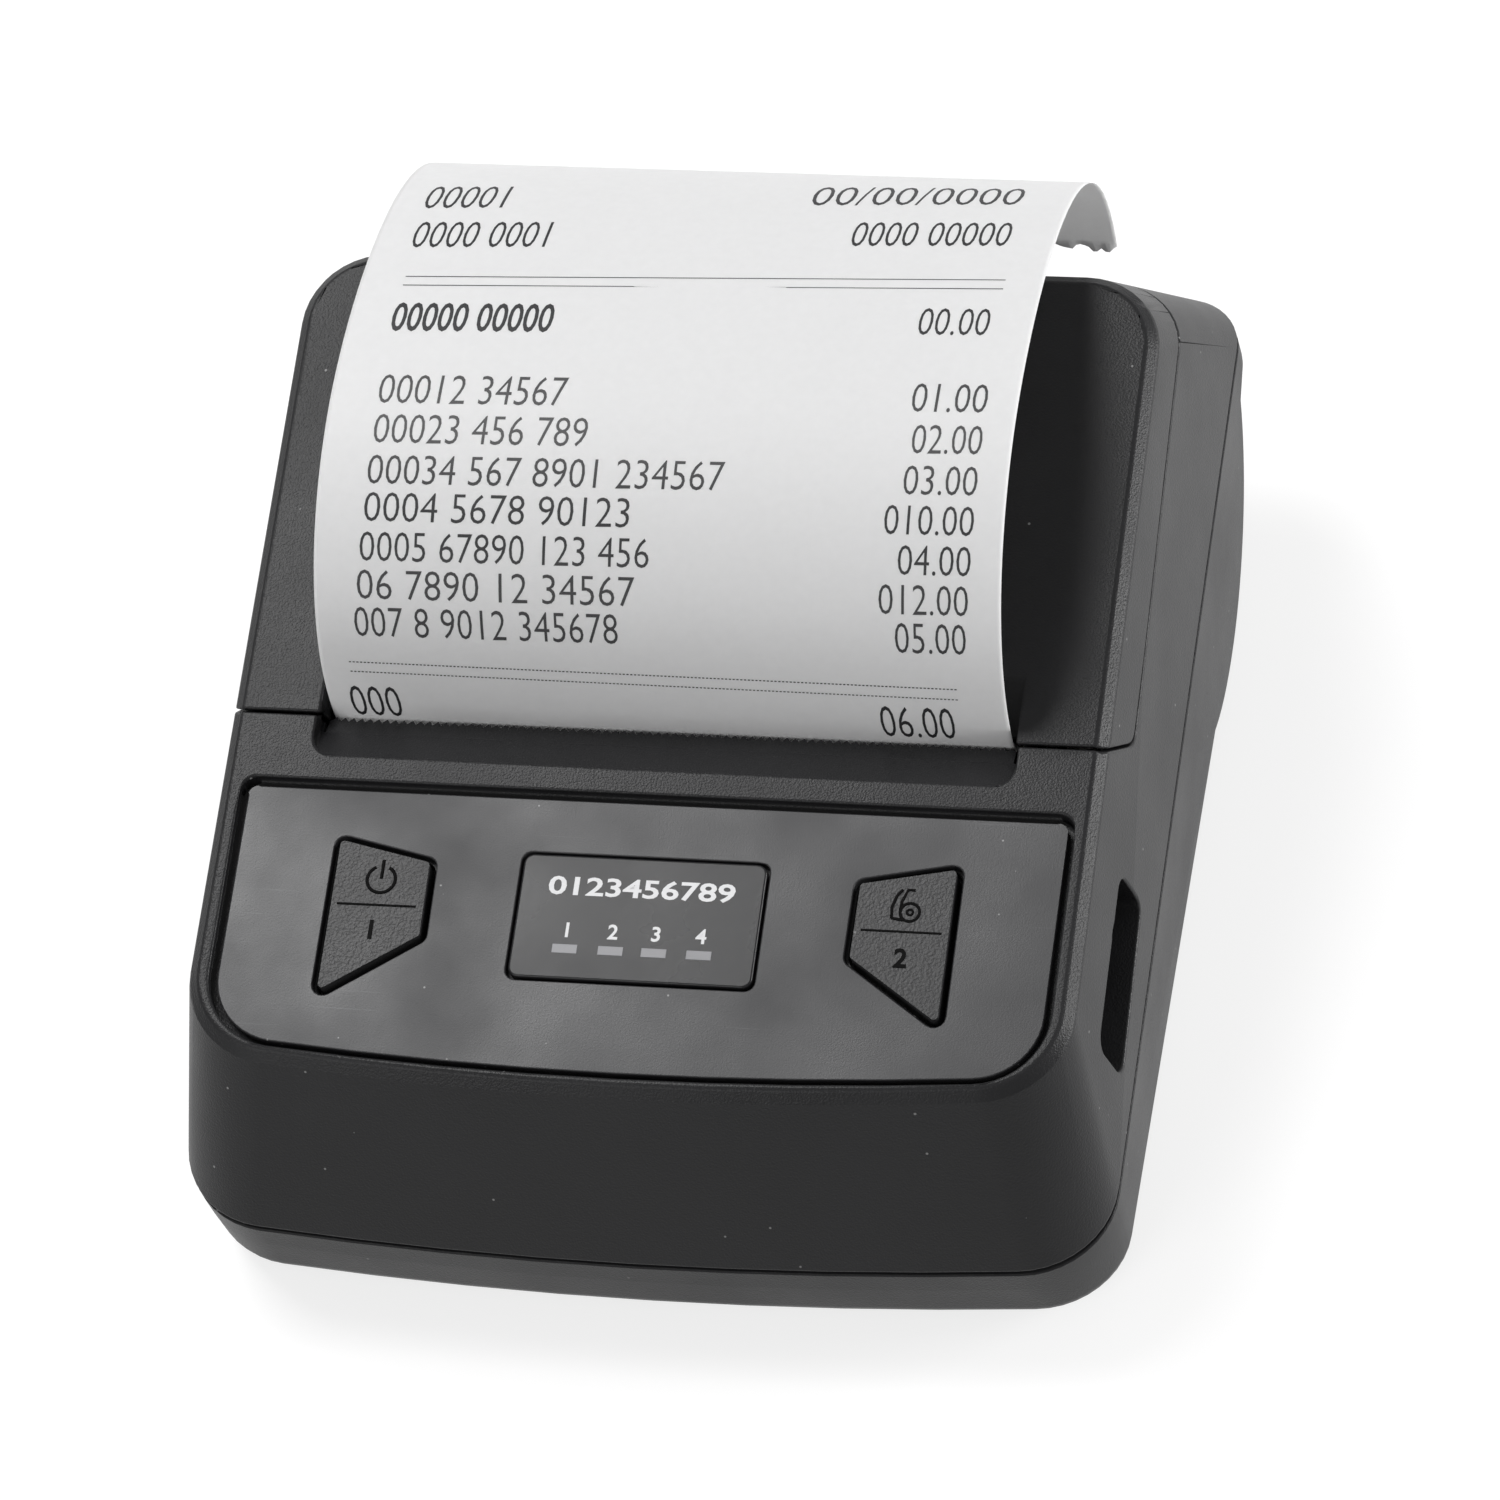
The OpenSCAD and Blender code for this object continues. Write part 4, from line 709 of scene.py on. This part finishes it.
# Each row: its figures, its left or right end across the paper, its two places along the paper
# and its width
printed = []
LEFT_ROWS = [("00001", -36.0, 76.3, 82.3, 9.5), ("0000 0001", -35.4, 67.8, 72.0, 15.9),
             ("00012 34567", -34.2, 43.3, 44.9, 21.9), ("00023 456 789", -34.0, 38.3, 39.6, 24.9),
             ("00034 567 8901 234567", -34.1, 33.4, 34.7, 41.4),
             ("0004 5678 90123", -34.1, 29.1, 30.1, 30.9),
             ("0005 67890 123 456", -34.4, 24.6, 25.6, 33.7),
             ("06 7890 12 34567", -34.7, 20.2, 21.1, 32.4),
             ("007 8 9012 345678", -35.2, 15.6, 16.5, 30.8), ("000", -37.2, 2.9, 3.5, 5.9)]
for words, x, left, right, width in LEFT_ROWS:
    printed.append(row(words, x, "LEFT", left, right, width))
RIGHT_ROWS = [("00/00/0000", 33.8, 76.3, 82.3, 24.4), ("0000 00000", 34.3, 67.8, 72.0, 18.3),
              ("00.00", 34.7, 53.6, 56.0, 8.1), ("01.00", 36.2, 43.3, 44.9, 8.6),
              ("02.00", 36.3, 38.3, 39.6, 8.0), ("03.00", 36.3, 33.4, 34.7, 8.4),
              ("010.00", 36.3, 29.1, 30.1, 10.2), ("04.00", 36.2, 24.6, 25.6, 8.3),
              ("012.00", 36.0, 20.2, 21.1, 10.2), ("05.00", 35.7, 15.6, 16.5, 8.1),
              ("06.00", 33.4, 2.9, 3.5, 8.5)]
for words, x, left, right, width in RIGHT_ROWS:
    printed.append(row(words, x, "RIGHT", left, right, width))
printed.append(row("00000 00000", -34.7, "LEFT", 53.6, 56.0, 18.9, 0.05))
# A double rule under the two heading rows, and a double row of dashes over the last row
for left, right in ((61.0, 63.9), (59.5, 62.3)):
    printed.append(rule(-34.6, 35.3, left, right))
for left, right in ((10.6, 10.4), (9.2, 8.9)):
    printed.append(rule(-36.4, 34.8, left, right, 0.16, 0.22))
print_film = joined("receipt_print", printed)
print_film.data.transform(SLOPE)
placed(print_film, "lid", "receipt_paper", inked("print_black", (0.02, 0.02, 0.022), 0.5))


# Tear bar: a saw edge across the trough, moulded in black plastic and pressed into the housing.
# The paper is torn against its teeth, so they keep sharp points.
placed(eased("tear_bar", 0.00005, 1), "case", "tear_black",
       moulded("tear_black", (0.015, 0.015, 0.016), 0.4, grain=4500, specular=0.26), "tear_bar")


# Sockets in the right side: a USB shell of pressed steel and a charging socket moulded in black
# plastic round its pin. Both are soldered to the main board.
def metal(name, colour, rough, grain=1500, brushed=None):
    """Bare metal; brushed gives the stretch of its grain along each axis."""
    material, tree, shader = blank_material(name)
    place = object_place(tree)
    if brushed:
        stretch = tree.nodes.new("ShaderNodeMapping")
        stretch.inputs["Scale"].default_value = brushed
        link(tree, place, stretch.inputs["Vector"])
        place = stretch.outputs[0]
    grains = noise(tree, place, grain, 3)
    link(tree, mixed(tree, grains, tuple(c * 0.85 for c in colour), colour),
         shader.inputs["Base Color"])
    link(tree, ranged(tree, grains, 0.3, 0.7, rough - 0.06, rough + 0.08),
         shader.inputs["Roughness"])
    shader.inputs["Metallic"].default_value = 1
    bumped(tree, shader, grains, 0.000004)
    return material


def coated(node, material):
    """Gives a solid that keeps its own shape its material."""
    mesh = nodes[node].data
    mesh.materials.clear()
    mesh.materials.append(material)
    for polygon in mesh.polygons:
        polygon.material_index = 0


steel = metal("steel", (0.56, 0.56, 0.58), 0.3)
socket_black = moulded("black_plastic", (0.008, 0.008, 0.009), 0.4, depth=0.00001)
coated("usb_socket", steel)
coated("dc_socket", socket_black)


# Print mechanism: a rubber platen on a steel shaft in acetal bushes, driven through acetal gears
# by a small stepper motor with a brass pinion; the ceramic head is glued to an aluminium sink and
# held to the platen by springs. A plated steel frame carries it all.
acetal = moulded("gear_white", (0.7, 0.69, 0.64), 0.42, grain=2500, depth=0.00001)
frame_steel = metal("frame_steel", (0.48, 0.48, 0.5), 0.38, 900)
spring_steel = metal("spring_steel", (0.4, 0.4, 0.42), 0.3)
for node in ("platen_shaft", "hinge_pin", "head_pivot", "gear_axle", "shell_screws",
             "board_screws"):
    coated(node, steel)
for node in ("platen_gear", "platen_bushes", "reduction_gear"):
    coated(node, acetal)
for node in ("hinge_spring", "head_springs"):
    coated(node, spring_steel)
coated("platen_roller", moulded("roller_rubber", (0.02, 0.02, 0.02), 0.75, grain=2500,
                                depth=0.00005, specular=0.3))
coated("print_head", glossy("head_ceramic", (0.58, 0.52, 0.42), 0.25, 0.1))
coated("heat_sink", metal("sink_aluminium", (0.7, 0.7, 0.72), 0.35, 900, (1, 12, 12)))
coated("mechanism_frame", frame_steel)
coated("stepper_motor", metal("motor_metal", (0.5, 0.5, 0.52), 0.33, 900, (12, 1, 1)))
coated("motor_pinion", metal("pinion_brass", (0.72, 0.55, 0.25), 0.3))
coated("paper_sensor", socket_black)


# Lid liner and roll bin: plain black mouldings inside the case. The roll is wound thermal paper
# on a card core.
inner_black = moulded("inner_black", (0.018, 0.018, 0.019), 0.55)
coated("lid_liner", inner_black)
coated("roll_bin", inner_black)


def wound(name, colour):
    """The roll: rings of paper edge on its ends, and a smooth face round it."""
    material, tree, shader = blank_material(name)
    middle = tree.nodes.new("ShaderNodeMapping")
    low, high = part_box("paper_roll")
    middle.inputs["Location"].default_value = -(low + high) / 2
    link(tree, object_place(tree), middle.inputs["Vector"])
    axes = tree.nodes.new("ShaderNodeSeparateXYZ")
    link(tree, middle.outputs[0], axes.inputs[0])
    flat = tree.nodes.new("ShaderNodeCombineXYZ")
    link(tree, axes.outputs["Y"], flat.inputs["Y"])
    link(tree, axes.outputs["Z"], flat.inputs["Z"])
    far = tree.nodes.new("ShaderNodeVectorMath")
    far.operation = "LENGTH"
    link(tree, flat.outputs[0], far.inputs[0])
    rings = noise(tree, far.outputs["Value"], 1)
    grain = rings.node
    grain.noise_dimensions = "1D"
    link(tree, far.outputs["Value"], grain.inputs["W"])
    grain.inputs["Scale"].default_value = 9000
    link(tree, mixed(tree, ranged(tree, rings, 0.35, 0.65, 0, 1), tuple(c * 0.86 for c in colour),
                     colour), shader.inputs["Base Color"])
    shader.inputs["Roughness"].default_value = 0.6
    bumped(tree, shader, rings, 0.00002, 0.5)
    return material


coated("paper_roll", wound("roll_paper", (0.84, 0.84, 0.84)))
coated("roll_core", papered("core_card", (0.36, 0.25, 0.14), 0.85))


# Electronics: two boards in green solder mask, black chips and plugs, an amber flat cable to the
# head, light pipes under the window, and the battery in its printed film with brass contacts.
def board(name, colour):
    """Solder mask with the faint lines of the copper under it."""
    material, tree, shader = blank_material(name)
    place = object_place(tree)
    tracks = tree.nodes.new("ShaderNodeTexBrick")
    tracks.inputs["Scale"].default_value = 160
    tracks.inputs["Mortar Size"].default_value = 0.06
    tracks.inputs["Color1"].default_value = (*colour, 1)
    tracks.inputs["Color2"].default_value = (*(c * 0.8 for c in colour), 1)
    tracks.inputs["Mortar"].default_value = (*(c * 1.6 for c in colour), 1)
    link(tree, place, tracks.inputs["Vector"])
    link(tree, tracks.outputs["Color"], shader.inputs["Base Color"])
    shader.inputs["Roughness"].default_value = 0.32
    bumped(tree, shader, tracks.outputs["Fac"], 0.00002)
    return material


board_green = board("board_green", (0.012, 0.085, 0.035))
for node in ("main_board", "key_board"):
    coated(node, board_green)
for node in ("board_chips", "key_switches"):
    coated(node, socket_black)
coated("ribbon_cable", glossy("cable_amber", (0.5, 0.2, 0.03), 0.25, 0.1))
coated("battery_pack", glossy("battery_wrap", (0.015, 0.035, 0.1), 0.25, 0.12))
coated("battery_contacts", metal("contact_brass", (0.75, 0.55, 0.2), 0.3))
lamp_clear = glossy("lamp_clear", (0.55, 0.58, 0.58), 0.3, 0.1)
for number in range(1, 5):
    coated(f"lamp_{number}", lamp_clear)


# Feet: four matt discs of black rubber, stuck in pockets under the base, which keep the printer
# from sliding.
coated("rubber_feet", moulded("foot_rubber", (0.012, 0.012, 0.012), 0.8, grain=1800,
                              depth=0.00006, specular=0.3))
